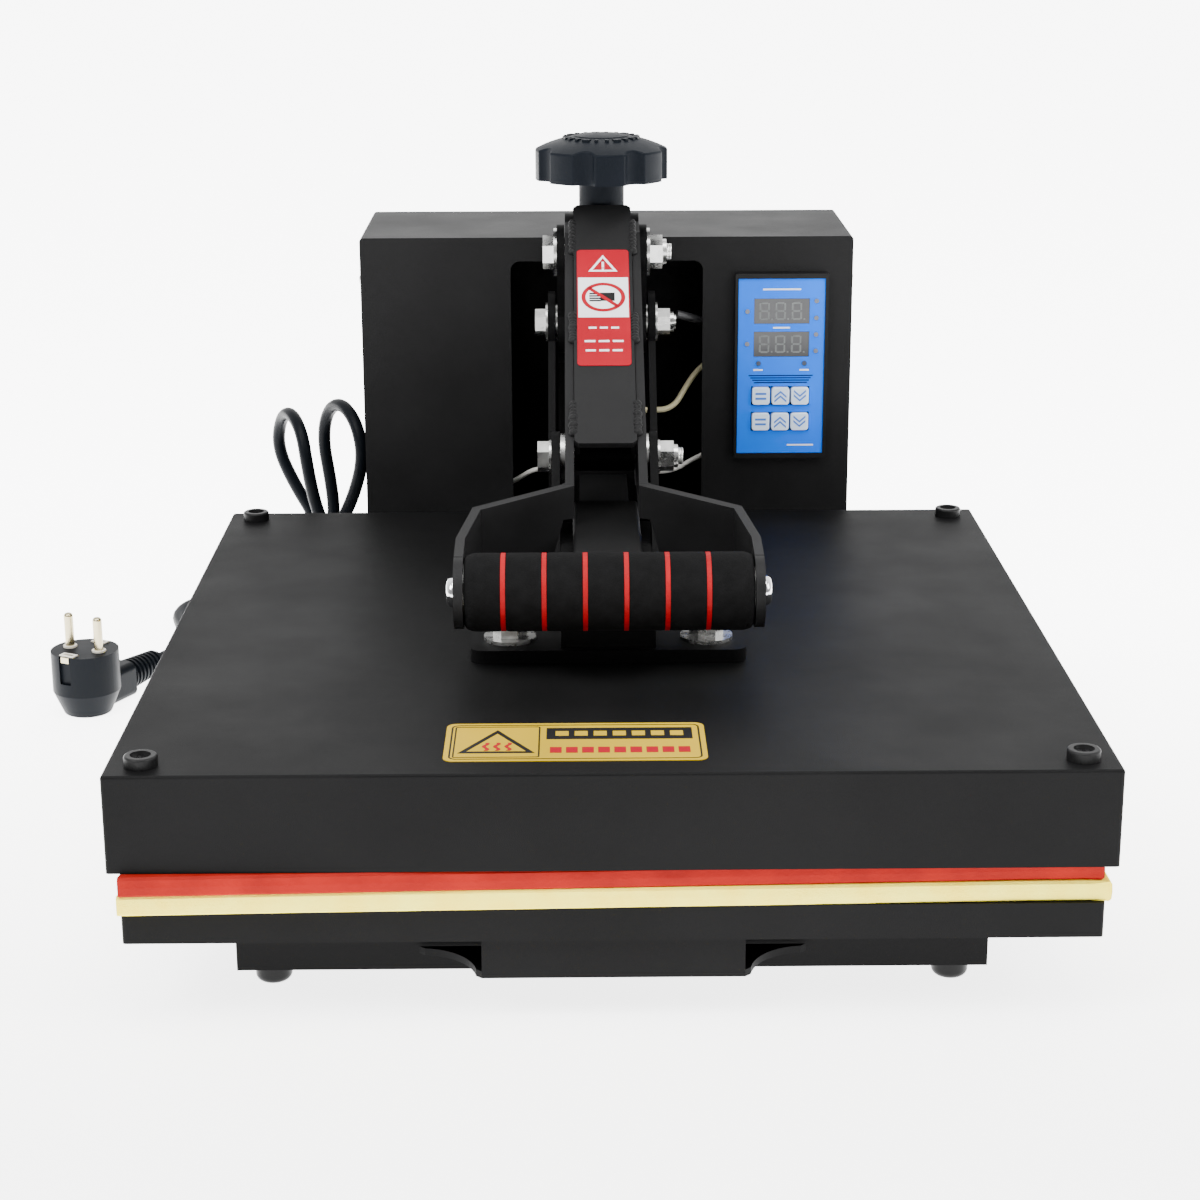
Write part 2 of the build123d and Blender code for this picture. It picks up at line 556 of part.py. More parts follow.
def make_grip():
    inner, outer = YOKE_END_INNER_X, YOKE_END_OUTER_X
    core_radius, core_bore, end_wall, screw_hole = 12.5, 10.5, 6, 3.05
    core = rod_x(core_radius, 0.1 - inner, inner - 0.1, GRIP_CENTRE)
    core -= rod_x(core_bore, end_wall - inner, inner - end_wall, GRIP_CENTRE)
    core -= rod_x(screw_hole, -inner - 1, inner + 1, GRIP_CENTRE)
    save("grip_core", core)
    make_foam(core_radius + RUNNING_GAP)
    head_radius, head_height, shank_radius = 6.4, 3.4, 3.0
    screws = []
    for side in (-1, 1):
        shank = rod_x(shank_radius, side * (inner - end_wall + 0.1), side * (outer + 1), GRIP_CENTRE)
        head = rod_x(head_radius, side * outer, side * (outer + head_height), GRIP_CENTRE)
        rim = head.edges().filter_by(GeomType.CIRCLE).sort_by(Axis.X)
        screws.append(fillet(rim[-1] if side > 0 else rim[0], 2.8) + shank)
    save("grip_end_screws", *screws)


def make_foam(bore):
    """Foam sleeve on the grip's core, with red rings set into grooves."""
    foam = fillet(rod_x(FOAM_RADIUS, -GRIP_HALF, GRIP_HALF, GRIP_CENTRE).edges(), 2.5)
    foam -= rod_x(bore, -GRIP_HALF - 1, GRIP_HALF + 1, GRIP_CENTRE)
    ring_half, ring_depth = 1.0, 1.3
    rings = []
    for index in range(RING_COUNT):
        x = (index - (RING_COUNT - 1) / 2) * RING_PITCH + RING_SHIFT
        floor_radius = FOAM_RADIUS - ring_depth
        foam -= (rod_x(FOAM_RADIUS + 1, x - ring_half - 0.1, x + ring_half + 0.1, GRIP_CENTRE)
                 - rod_x(floor_radius, x - 2, x + 2, GRIP_CENTRE))
        rings.append(rod_x(FOAM_RADIUS - 0.1, x - ring_half, x + ring_half, GRIP_CENTRE)
                     - rod_x(floor_radius + 0.1, x - 2, x + 2, GRIP_CENTRE))
    save("foam_grip", foam)
    save("grip_rings", *rings)


def make_link_top():
    outer = LINK_OUTER_X + SIDE_GAP
    inner_pair = washer_pair(11, LINK_TOP, YOKE_OUTER_X, LINK_INNER_X - SIDE_GAP)
    save("link_top_bolt", pivot_bolt(LINK_TOP, outer + 1, outer + 1, 37.5, 13),
         *inner_pair, *washer_pair(8, LINK_TOP, outer, outer + 1))


def make_links():
    hole = PIVOT_RADIUS + RUNNING_GAP
    (top_d, top_z), (foot_d, foot_z) = LINK_TOP, LINK_FOOT
    top_radius, foot_radius = 12.0, 10.0
    length = hypot(top_d - foot_d, top_z - foot_z)
    across = (-(top_z - foot_z) / length, (top_d - foot_d) / length)
    outline = []
    for distance, height, reach in ((top_d, top_z, top_radius - 0.1), (foot_d, foot_z, foot_radius - 0.1),
                                    (foot_d, foot_z, 0.1 - foot_radius), (top_d, top_z, 0.1 - top_radius)):
        outline.append((distance + across[0] * reach, height + across[1] * reach))
    discs = [(top_radius, LINK_TOP), (foot_radius, LINK_FOOT)]
    right = side_plate(outline, discs, [(hole, LINK_TOP), (hole, LINK_FOOT)], LINK_INNER_X, LINK_OUTER_X)
    save("toggle_links", right, mirrored(right))
    pin = rod_x(PIVOT_RADIUS, LINK_INNER_X, LINK_OUTER_X, LINK_FOOT)
    pin += hex_x(13, LINK_OUTER_X, LINK_OUTER_X + 4.5, LINK_FOOT)
    save("link_foot_pins", pin, mirrored(pin))


def make_screw_block():
    distance = HANDLE_PIVOT[0]
    low, high = 261.2, 268.0
    inner = YOKE_INNER_X
    seat = block(-inner, inner, distance - 11, distance + 12, low, high)
    seat -= rod_z(SCREW_RADIUS + RUNNING_GAP, low - 1, high + 1, 0, distance)
    save("screw_block", seat)
    foot = rod_z(8.0, 255.0, 258.4, 0, distance)
    foot -= rod_z(4.05, 256.4, 259, 0, distance)
    save("screw_foot", foot)
    screw = rod_z(SCREW_RADIUS, 258.7, 280.0, 0, distance) + rod_z(4.0, 256.5, 259.0, 0, distance)
    save("pressure_screw", screw)


def make_knob():
    distance = HANDLE_PIVOT[0]
    top = KNOB_RIM_Z + KNOB_RIM_HEIGHT + KNOB_DOME
    sphere_radius = (KNOB_RADIUS ** 2 + KNOB_DOME ** 2) / (2 * KNOB_DOME)
    rim = rod_z(KNOB_RADIUS, KNOB_RIM_Z, top, 0, distance)
    first_hollow, hollow_radius, reach = -105.5, 6.5, KNOB_RADIUS + 3.2
    for lobe in range(KNOB_LOBES):
        angle = radians(first_hollow + lobe * 360 / KNOB_LOBES)
        rim -= rod_z(hollow_radius, KNOB_RIM_Z - 1, top + 1, reach * cos(angle), distance + reach * sin(angle))
    rim = fillet(rim.edges().filter_by(Axis.Z), 1.5)
    crown = rim & (Pos(0, behind(distance), top - sphere_radius) * Sphere(sphere_radius))
    crown = fillet(ShapeList([edge for edge in crown.edges() if edge.center().Z > KNOB_RIM_Z + 10]), 1.3)
    hub = rod_z(KNOB_HUB_RADIUS, 271.0, KNOB_RIM_Z + 1, 0, distance)
    hub -= rod_z(SCREW_RADIUS + RUNNING_GAP, 270, 280.1, 0, distance)
    save("pressure_knob", crown + hub)


# ---- power cord ----
def relief_point(beyond):
    """Point on the plug's cord axis, this far past the end of its strain relief."""
    cx, distance = PLUG_CENTRE
    reach = RELIEF_END + beyond
    return (cx - reach * sin(radians(PLUG_TURN)), distance + reach * cos(radians(PLUG_TURN)), CORD_EXIT_Z)


def make_cord():
    wall, x, height = BOX_BACK, *GLAND_AT
    gland = rod_y(6.0, wall - 8, wall + 3, GLAND_AT) + rod_y(9.0, wall, wall + 2.5, GLAND_AT)
    gland += rod_y(7.2, wall + 2.4, wall + 9, GLAND_AT)
    gland -= rod_y(CORD_RADIUS, wall - 12, wall + 12, GLAND_AT)
    outline = RegularPolygon(8.5, 6, major_radius=False)
    nut = Pos(x, behind(wall - BOX_SHEET), height) * Rot(90, 0, 0) * extrude(outline, 3.8)
    nut -= rod_y(6.1, wall - 6, wall, GLAND_AT)
    save("cable_gland", gland, nut)
    lead = [(x, wall + 9, height), (x, 568, 106), (-124, 592, 56), (-172, 584, 16), (-188, 525, 20),
            (-176, HANK_BEHIND + HANK_DEPTH / 2, 22)]
    save("cord_lead", wire(lead, CORD_RADIUS))
    hank = Polygon((-182, 0.2), (-136, 0.2), (-138, 60), (-138, 88), (-127.5, 108), (-127.5, 135), (-138, 151),
                   (-172, 150), (-182, 144), (-180, 118), (-166, 80), align=None)
    solid = extrude(Plane.XZ * hank, HANK_DEPTH / 2, both=True)
    save("cord_hank", Pos(0, behind(HANK_BEHIND), 0) * solid)
    tail = [(-178, HANK_BEHIND + HANK_DEPTH / 2, 3.6), (-178, 512, 3.6), (-169, 547, 3.6), (-177, 572, 3.6),
            (-199, 588, 3.6), (-225, 588, 3.6), (-247, 572, 3.6), (-255, 547, 3.6), (-248, 519, 3.8),
            (-238, 491, 6.5), relief_point(30), relief_point(0)]
    save("cord_tail", wire(tail, CORD_RADIUS))


def make_plug():
    cx, distance = PLUG_CENTRE
    place = Pos(cx, behind(distance), 0) * Rot(0, 0, PLUG_TURN)
    taper_height, foot_radius = 13.0, 12.5
    upright = (Align.CENTER, Align.CENTER, Align.MIN)
    body = Cone(foot_radius, PLUG_RADIUS, taper_height, align=upright)
    body += Pos(0, 0, taper_height) * Cylinder(PLUG_RADIUS, PLUG_HEIGHT - taper_height, align=upright)
    body = fillet(body.edges().group_by(Axis.Z)[0], 1.5)
    shoulder_far = 31
    shoulder = Pos(0, shoulder_far / 2, CORD_EXIT_Z) * Box(19, shoulder_far, 19)
    body += fillet(shoulder.edges().filter_by(Axis.Y), 4.0)
    pin_spread, pin_radius, pin_length = 9.5, 2.4, 19
    pins, clips = [], []
    for side in (-1, 1):
        body -= Pos(0, side * 17.6, PLUG_HEIGHT - 7) * Box(7, 3, 16)
        pin = Pos(side * pin_spread, 0, PLUG_HEIGHT) * Cylinder(pin_radius, pin_length, align=upright)
        pins.append(place * fillet(pin.edges().group_by(Axis.Z)[-1], 1.8))
        clips.append(place * (Pos(0, side * 16.7, PLUG_HEIGHT - 1.6) * Box(5, 1.1, 3)))
    save("plug_contacts", *pins, *clips)
    cone = Cone(7.4, 5.6, RELIEF_END - shoulder_far, align=upright)
    relief = Pos(0, shoulder_far, CORD_EXIT_Z) * Rot(-90, 0, 0) * cone
    save("plug_body", place * (body + relief))


make_feet()
make_base()
make_tray()
make_pads()
make_uprights()
make_fixed_pivots()
make_box()
make_power_entry()
make_controller()
make_electrics()
make_wiring()
make_arm()
make_cover()
make_platen()
make_yoke()
make_hood()
make_grip()
make_link_top()
make_links()
make_screw_block()
make_knob()
make_cord()
make_plug()
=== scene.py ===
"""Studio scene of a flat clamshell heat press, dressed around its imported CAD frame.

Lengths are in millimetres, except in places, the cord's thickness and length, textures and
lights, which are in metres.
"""

import math
import random

import bpy
from mathutils import Matrix, Vector


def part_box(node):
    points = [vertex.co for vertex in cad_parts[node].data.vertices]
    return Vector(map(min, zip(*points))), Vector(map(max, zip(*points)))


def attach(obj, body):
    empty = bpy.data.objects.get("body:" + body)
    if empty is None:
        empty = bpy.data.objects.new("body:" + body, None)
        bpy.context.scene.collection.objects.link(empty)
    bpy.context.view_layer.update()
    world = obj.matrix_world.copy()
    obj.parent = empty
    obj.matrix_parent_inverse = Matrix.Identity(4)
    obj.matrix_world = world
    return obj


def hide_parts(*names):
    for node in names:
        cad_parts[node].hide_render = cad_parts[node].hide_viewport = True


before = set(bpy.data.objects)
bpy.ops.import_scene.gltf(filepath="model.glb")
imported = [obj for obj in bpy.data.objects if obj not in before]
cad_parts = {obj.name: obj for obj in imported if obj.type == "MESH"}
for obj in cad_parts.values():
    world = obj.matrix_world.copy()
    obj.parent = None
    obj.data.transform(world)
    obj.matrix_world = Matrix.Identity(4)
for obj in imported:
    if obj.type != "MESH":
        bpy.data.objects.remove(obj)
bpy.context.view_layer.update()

MM = 0.001
FRONT_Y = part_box("platen_cover")[0][1]
BASE, ARM, HANDLE = "base", "lift_arm", "handle"
QUARTER = math.pi / 2


def at(x, behind, z):
    """Row-frame point from millimetres: X, distance behind the cover's front face, height."""
    return Vector((x * MM, FRONT_Y + behind * MM, z * MM))


# ---- camera ----
LENS, SENSOR = 74.66, 36.0
CLIP_NEAR, CLIP_FAR = 0.05, 60.0
CAMERA_PLACE = at(-13.2, -889.2, 445.7)
PITCH, YAW, ROLL = math.radians(16.86), math.radians(0.533), math.radians(-0.2)


def add_camera():
    """Camera at the photograph's viewing angle."""
    data = bpy.data.cameras.new("photo_camera")
    data.lens, data.sensor_width = LENS, SENSOR
    data.clip_start, data.clip_end = CLIP_NEAR, CLIP_FAR
    camera = bpy.data.objects.new("photo_camera", data)
    turn = Matrix.Rotation(-YAW, 4, "Z") @ Matrix.Rotation(QUARTER - PITCH, 4, "X")
    camera.matrix_world = Matrix.Translation(CAMERA_PLACE) @ turn @ Matrix.Rotation(ROLL, 4, "Z")
    bpy.context.collection.objects.link(camera)
    bpy.context.scene.camera = camera


# ---- materials ----
NOISE_LOW, NOISE_HIGH = 0.3, 0.7
BUMP_STRENGTH = 0.6
SLEEVE_LOW, SLEEVE_HIGH = 0.145, 0.187


def shader(name):
    """New material with its node tree, principled shader and object coordinates."""
    made = bpy.data.materials.new(name)
    made.use_nodes = True
    tree = made.node_tree
    coordinates = tree.nodes.new("ShaderNodeTexCoord")
    return made, tree, tree.nodes["Principled BSDF"], coordinates.outputs["Object"]


def noise(tree, where, scale, detail=3.0, stretch=(1, 1, 1)):
    """Noise value over the object, in features per metre."""
    mapping = tree.nodes.new("ShaderNodeMapping")
    mapping.inputs["Scale"].default_value = stretch
    texture = tree.nodes.new("ShaderNodeTexNoise")
    texture.inputs["Scale"].default_value = scale
    texture.inputs["Detail"].default_value = detail
    tree.links.new(where, mapping.inputs["Vector"])
    tree.links.new(mapping.outputs["Vector"], texture.inputs["Vector"])
    return texture.outputs["Fac"]


def ramp(tree, value, stops):
    """Colour ramp from (position, colour) stops."""
    node = tree.nodes.new("ShaderNodeValToRGB")
    elements = node.color_ramp.elements
    while len(elements) < len(stops):
        elements.new(0.5)
    for element, (position, colour) in zip(elements, stops):
        element.position = position
        element.color = (*colour, 1.0)
    tree.links.new(value, node.inputs["Fac"])
    return node.outputs["Color"]


def span(tree, value, low, high):
    """Value spread between two numbers."""
    node = tree.nodes.new("ShaderNodeMapRange")
    node.inputs["From Min"].default_value = NOISE_LOW
    node.inputs["From Max"].default_value = NOISE_HIGH
    node.inputs["To Min"].default_value = low
    node.inputs["To Max"].default_value = high
    tree.links.new(value, node.inputs["Value"])
    return node.outputs["Result"]


def bump(tree, surface, height, depth):
    """Fine relief of the given depth in metres."""
    node = tree.nodes.new("ShaderNodeBump")
    node.inputs["Distance"].default_value = depth
    node.inputs["Strength"].default_value = BUMP_STRENGTH
    tree.links.new(height, node.inputs["Height"])
    tree.links.new(node.outputs["Normal"], surface.inputs["Normal"])


def finish_of(name, dark, light, rough, grain, depth, metallic=0.0, stretch=(1, 1, 1), coat=0.0,
              patch=22.0, shine=0.5):
    """Material with large soft patches of tone, varied roughness and a fine grain."""
    made, tree, surface, where = shader(name)
    tone = noise(tree, where, patch, 4.0, stretch)
    colours = ramp(tree, tone, [(NOISE_LOW, dark), (NOISE_HIGH, light)])
    tree.links.new(colours, surface.inputs["Base Color"])
    tree.links.new(span(tree, tone, *rough), surface.inputs["Roughness"])
    surface.inputs["Metallic"].default_value = metallic
    surface.inputs["Coat Weight"].default_value = coat
    surface.inputs["Specular IOR Level"].default_value = shine
    bump(tree, surface, noise(tree, where, grain, 2.0, stretch), depth)
    return made


def wire_material():
    """Sheaths that change with height: pale earth wires, a yellowish sleeve, dark mains wires."""
    made, tree, surface, where = shader("wire_sheaths")
    split = tree.nodes.new("ShaderNodeSeparateXYZ")
    tree.links.new(where, split.inputs["Vector"])
    pale, sleeve, dark = (0.55, 0.54, 0.50), (0.50, 0.45, 0.27), (0.03, 0.03, 0.032)
    stops = [(0.0, pale), (0.14, pale), (SLEEVE_LOW, sleeve), (SLEEVE_HIGH, sleeve), (0.19, dark)]
    tree.links.new(ramp(tree, split.outputs["Z"], stops), surface.inputs["Base Color"])
    surface.inputs["Roughness"].default_value = 0.45
    bump(tree, surface, noise(tree, where, 900.0), 0.0001)
    return made


def grey(value):
    """Nearly neutral grey, a touch blue."""
    return (value, value, value * 1.03)


PAINT = finish_of("black_powder_coat", grey(0.0035), grey(0.0055), (0.48, 0.58), 2600, 0.00012,
                  shine=0.06)
HANDLE_PAINT = finish_of("handle_powder_coat", grey(0.007), grey(0.011), (0.46, 0.56), 2400,
                         0.00012, shine=0.11)
BOX_PAINT = finish_of("box_powder_coat", grey(0.007), grey(0.010), (0.46, 0.56), 2200, 0.00014,
                      shine=0.10)
ZINC = finish_of("bright_zinc", (0.50, 0.50, 0.49), (0.72, 0.72, 0.70), (0.20, 0.36), 900, 0.00004,
                 metallic=1.0, patch=160)
STEEL = finish_of("turned_steel", (0.40, 0.40, 0.40), (0.56, 0.56, 0.55), (0.28, 0.42), 1500,
                  0.00004, metallic=1.0, stretch=(1, 8, 8), patch=140)
CHROME = finish_of("polished_chrome", (0.74, 0.74, 0.75), (0.86, 0.86, 0.87), (0.06, 0.14), 700,
                   0.00001, metallic=1.0)
ALUMINIUM = finish_of("machined_aluminium", (0.56, 0.57, 0.58), (0.68, 0.69, 0.70), (0.30, 0.45),
                      1200, 0.00005, metallic=1.0, stretch=(12, 1, 1))
ELEMENT = finish_of("heat_tinted_steel", (0.20, 0.15, 0.11), (0.40, 0.34, 0.28), (0.35, 0.5), 800,
                    0.00005, metallic=1.0)
BRASS = finish_of("nickel_brass", (0.38, 0.33, 0.20), (0.52, 0.46, 0.30), (0.16, 0.28), 800,
                  0.00003, metallic=1.0)
RUBBER = finish_of("glossy_rubber", grey(0.003), grey(0.005), (0.25, 0.38), 700, 0.00006,
                   shine=0.15)
SHEATH = finish_of("cord_sheath", (0.0025, 0.0035, 0.005), (0.004, 0.005, 0.007), (0.34, 0.46),
                   900, 0.00006, shine=0.06)
SILICONE = finish_of("red_silicone", (0.21, 0.004, 0.002), (0.30, 0.009, 0.005), (0.6, 0.75), 420,
                     0.0004, patch=60, shine=0.1)
FELT = finish_of("cream_felt", (1.0, 0.78, 0.07), (1.0, 0.90, 0.13), (0.85, 0.95), 1500, 0.0006,
                 patch=70, shine=0.1)
WOOL = finish_of("glass_wool", (0.62, 0.60, 0.50), (0.80, 0.78, 0.70), (0.9, 1.0), 500, 0.001,
                 patch=60)
FOAM = finish_of("black_foam", grey(0.003), grey(0.006), (0.78, 0.92), 1400, 0.0004, patch=200,
                 shine=0.06)
RING = finish_of("red_ring", (0.26, 0.001, 0.004), (0.36, 0.003, 0.008), (0.5, 0.65), 900, 0.0001,
                 patch=90, shine=0.12)
PLASTIC = finish_of("black_plastic", grey(0.005), grey(0.008), (0.36, 0.48), 1800, 0.0001,
                    shine=0.15)
KNOB = finish_of("knob_plastic", (0.002, 0.0035, 0.006), (0.0035, 0.005, 0.008), (0.42, 0.54),
                 1300, 0.0001, patch=80, shine=0.07)
CREAM = finish_of("cream_plastic", (0.66, 0.62, 0.52), (0.78, 0.75, 0.66), (0.35, 0.5), 1200,
                  0.00005)
TERMINAL = finish_of("terminal_plastic", (0.50, 0.49, 0.45), (0.62, 0.61, 0.57), (0.4, 0.55), 1200,
                     0.00006)
BLUE = finish_of("blue_film", (0.0, 0.14, 0.84), (0.0, 0.17, 0.92), (0.36, 0.44), 1500, 0.00003,
                 shine=0.06)
WINDOW = finish_of("tinted_window", (0.012, 0.013, 0.016), (0.018, 0.020, 0.024), (0.10, 0.18),
                   500, 0.00001)
BUTTON = finish_of("button_plastic", (0.60, 0.72, 0.88), (0.70, 0.80, 0.92), (0.35, 0.45), 1500,
                   0.00004)
GOLD = finish_of("gold_foil", (0.38, 0.25, 0.004), (0.50, 0.33, 0.010), (0.40, 0.5), 1400, 0.00003,
                 patch=12, shine=0.15)
LABEL_RED = finish_of("label_red", (0.27, 0.002, 0.010), (0.34, 0.004, 0.016), (0.42, 0.52), 1300,
                      0.00003, shine=0.08)
MARK_BLUE = finish_of("button_mark", (0.03, 0.14, 0.55), (0.04, 0.18, 0.62), (0.4, 0.5), 1500,
                      0.00002)
MARK_WHITE = finish_of("white_print", (0.72, 0.74, 0.76), (0.84, 0.85, 0.86), (0.4, 0.5), 1500,
                       0.00002, shine=0.2)
# dark print colour, also used as painted shade in the corner screws' cross recesses
DARK_PRINT_AND_SHADE = finish_of("dark_print_and_shade", grey(0.006), grey(0.010), (0.45, 0.55), 1500, 0.00002,
                      shine=0.1)
SEGMENT = finish_of("unlit_segment", (0.10, 0.11, 0.11), (0.15, 0.16, 0.16), (0.3, 0.4), 1500,
                    0.00001)
LED = finish_of("unlit_led", (0.02, 0.03, 0.06), (0.03, 0.05, 0.09), (0.12, 0.2), 700, 0.00001,
                coat=0.5)
WELD = finish_of("painted_weld", grey(0.006), grey(0.010), (0.42, 0.55), 700, 0.0005, patch=300,
                 shine=0.1)
WIRES = wire_material()

NODE_FINISHES = {
    PAINT: ("base_frame", "lower_tray", "upright_frame", "arm_tube", "arm_hinge_plates",
            "foot_plate", "platen_cover", "screw_block", "toggle_links"),
    HANDLE_PAINT: ("left_yoke_plate", "right_yoke_plate", "handle_hood"),
    BOX_PAINT: ("box_cover", "box_front", "box_back"),
    ZINC: ("foot_screws", "upright_bolts", "handle_pivot_bolt", "arm_pivot_bolt", "cable_gland",
           "platen_studs", "link_top_bolt", "link_foot_pins"),
    STEEL: ("grip_core", "screw_foot", "pressure_screw"),
    CHROME: ("corner_screws", "grip_end_screws"),
    ALUMINIUM: ("heating_platen",),
    ELEMENT: ("heating_element",),
    RUBBER: ("rubber_feet",),
    SHEATH: ("plug_body",),
    WOOL: ("insulation_blanket",),
    RING: ("grip_rings",),
    PLASTIC: ("corner_caps", "controller_bezel", "controller_case", "switch_body", "switch_rocker",
              "fuse_holder"),
    KNOB: ("pressure_knob",),
    BLUE: ("controller_faceplate",),
    WINDOW: ("display_windows",),
    BUTTON: tuple(f"{row}_{kind}_button" for row in ("temperature", "time")
                  for kind in ("select", "up", "down")),
    GOLD: ("caution_plate",),
    LABEL_RED: ("warning_label",),
    BRASS: ("plug_contacts",),
    TERMINAL: ("box_electrics",),
    WIRES: ("box_wiring",),
}


def dress_nodes():
    """Give each hard CAD node its finish."""
    for made, nodes in NODE_FINISHES.items():
        for node in nodes:
            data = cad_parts[node].data
            data.materials.clear()
            data.materials.append(made)


# ---- mesh pieces ----
class Shape:
    """Vertices and faces gathered in millimetres, then made into one piece."""

    def __init__(self):
        self.points, self.faces = [], []

    def add(self, points, faces):
        """More points, with faces that count from the first of them."""
        first = len(self.points)
        self.points += [Vector(point) for point in points]
        self.faces += [tuple(first + index for index in face) for face in faces]
        return self

    def prism(self, outline, low, high):
        """Outline of (x, y) points raised from low to high."""
        count = len(outline)
        points = [(x, y, z) for z in (low, high) for x, y in outline]
        sides = [(i, (i + 1) % count, count + (i + 1) % count, count + i) for i in range(count)]
        caps = [tuple(reversed(range(count))), tuple(range(count, 2 * count))]
        return self.add(points, caps + sides)

    def block(self, x, y, width, height, low, high):
        """Upright block centred on x, y."""
        return self.prism(shifted(rectangle(width, height, y), x), low, high)

    def band(self, outer, inner, low, high):
        """Frame between two outlines with the same number of points."""
        count = len(outer)
        loops = [(outer, low), (outer, high), (inner, high), (inner, low)]
        points = [(x, y, z) for outline, z in loops for x, y in outline]
        faces = []
        for loop in range(4):
            here, there = loop * count, (loop + 1) % 4 * count
            faces += [(here + i, here + (i + 1) % count, there + (i + 1) % count, there + i)
                      for i in range(count)]
        return self.add(points, faces)

    def turned(self, profile, steps=48):
        """Surface of revolution about Z from (radius, z) points, closed where the radius is 0."""
        points = []
        for step in range(steps):
            angle = math.tau * step / steps
            points += [(r * math.cos(angle), r * math.sin(angle), z) for r, z in profile]
        count = len(profile)
        faces = []
        for step in range(steps):
            here, there = step * count, (step + 1) % steps * count
            faces += [(here + i, there + i, there + i + 1, here + i + 1) for i in range(count - 1)]
        return self.add(points, faces)

    def make(self, name, material, body, place=None, smooth=False, ride=True):
        """One piece of the gathered mesh, riding on its body."""
        mesh = bpy.data.meshes.new(name)
        matrix = (place or Matrix()) @ Matrix.Scale(MM, 4)
        mesh.from_pydata([matrix @ point for point in self.points], [], self.faces)
        mesh.validate()
        mesh.update()
        mesh.polygons.foreach_set("use_smooth", [smooth] * len(mesh.polygons))
        mesh.materials.append(material)
        piece = bpy.data.objects.new(name, mesh)
        bpy.context.collection.objects.link(piece)
        if ride:
            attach(piece, body)
        return piece


def circle(radius, x=0.0, y=0.0, steps=32, start=0.0):
    """Round outline."""
    angles = [start + math.tau * step / steps for step in range(steps)]
    return [(x + radius * math.cos(angle), y + radius * math.sin(angle)) for angle in angles]


def triangle(radius, x, y):
    """Triangular outline with its point up."""
    return circle(radius, x, y, 3, QUARTER)


def rounded(width, height, radius, steps=6):
    """Rounded rectangle outline centred on the origin."""
    outline = []
    for turn, (sx, sy) in enumerate(((1, 1), (-1, 1), (-1, -1), (1, -1))):
        cx, cy = sx * (width / 2 - radius), sy * (height / 2 - radius)
        for step in range(steps + 1):
            angle = QUARTER * (turn + step / steps)
            outline.append((cx + radius * math.cos(angle), cy + radius * math.sin(angle)))
    return outline


def rectangle(width, height, y=0.0):
    """Rectangular outline centred on (0, y)."""
    half_w, half_h = width / 2, height / 2
    signs = ((-1, -1), (1, -1), (1, 1), (-1, 1))
    return [(sx * half_w, sy * half_h + y) for sx, sy in signs]


def shifted(outline, x):
    """Outline moved along X."""
    return [(px + x, py) for px, py in outline]


def facing_front(centre):
    """Place for a shape drawn in X and Z as seen from the front, raised towards the front."""
    return Matrix.Translation(centre) @ Matrix.Rotation(QUARTER, 4, "X")


def extent(node):
    """Low and high corners of a node's box."""
    low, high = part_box(node)
    return Vector(low), Vector(high)


def middle(node):
    """Centre of a node's box."""
    low, high = extent(node)
    return (low + high) / 2


def along_x(place, reverse=False):
    """Place for a shape turned about Z, laid along +X or -X."""
    return Matrix.Translation(place) @ Matrix.Rotation(-QUARTER if reverse else QUARTER, 4, "Y")


# ---- power cord ----
CORD_DIAMETER, CORD_LENGTH = 0.007, 1.26
CORD_ON_FLOOR = 3.6
FOLD_SPREAD, FOLD_STEPS = 1.08, 4
TIE_CENTRE, TIE_HALF = at(-152.5, 455.5, 76), 2
STRAIGHT_RUN = 30
PLUG_TURN = math.radians(-27)
PLUG_BACK = Vector((-math.sin(PLUG_TURN), math.cos(PLUG_TURN), 0))
PLUG_BASE = at(-277.5, 381.5, 0)
PLUG_TOP, CORD_LEVEL, RELIEF_REACH = 35, 10, 62
PIN_OFFSET, COLLAR_RADIUS, COLLAR_BORE, EARTH_OFFSET = 9.5, 3.7, 2.45, 13.6
RELIEF_END = PLUG_BASE + PLUG_BACK * RELIEF_REACH * MM + Vector((0, 0, CORD_LEVEL * MM))
RIBS, RIB_START, RIB_PITCH, RIB_RADIUS, RIB_TAPER, RIB_DEPTH = 8, 33, 3.5, 8.6, 0.24, 2.2


def fold(first, last, z, rise):
    """Half turn of the hank from one strand to the next, both as (x, behind)."""
    mid = [(a + b) / 2 for a, b in zip(first, last)]
    half = [(a - b) / 2 * FOLD_SPREAD for a, b in zip(first, last)]
    points = []
    for step in range(FOLD_STEPS + 1):
        angle = math.pi * step / FOLD_STEPS
        reach = math.cos(angle)
        x, behind = mid[0] + half[0] * reach, mid[1] + half[1] * reach
        points.append((x, behind, z + rise * math.sin(angle)))
    return points


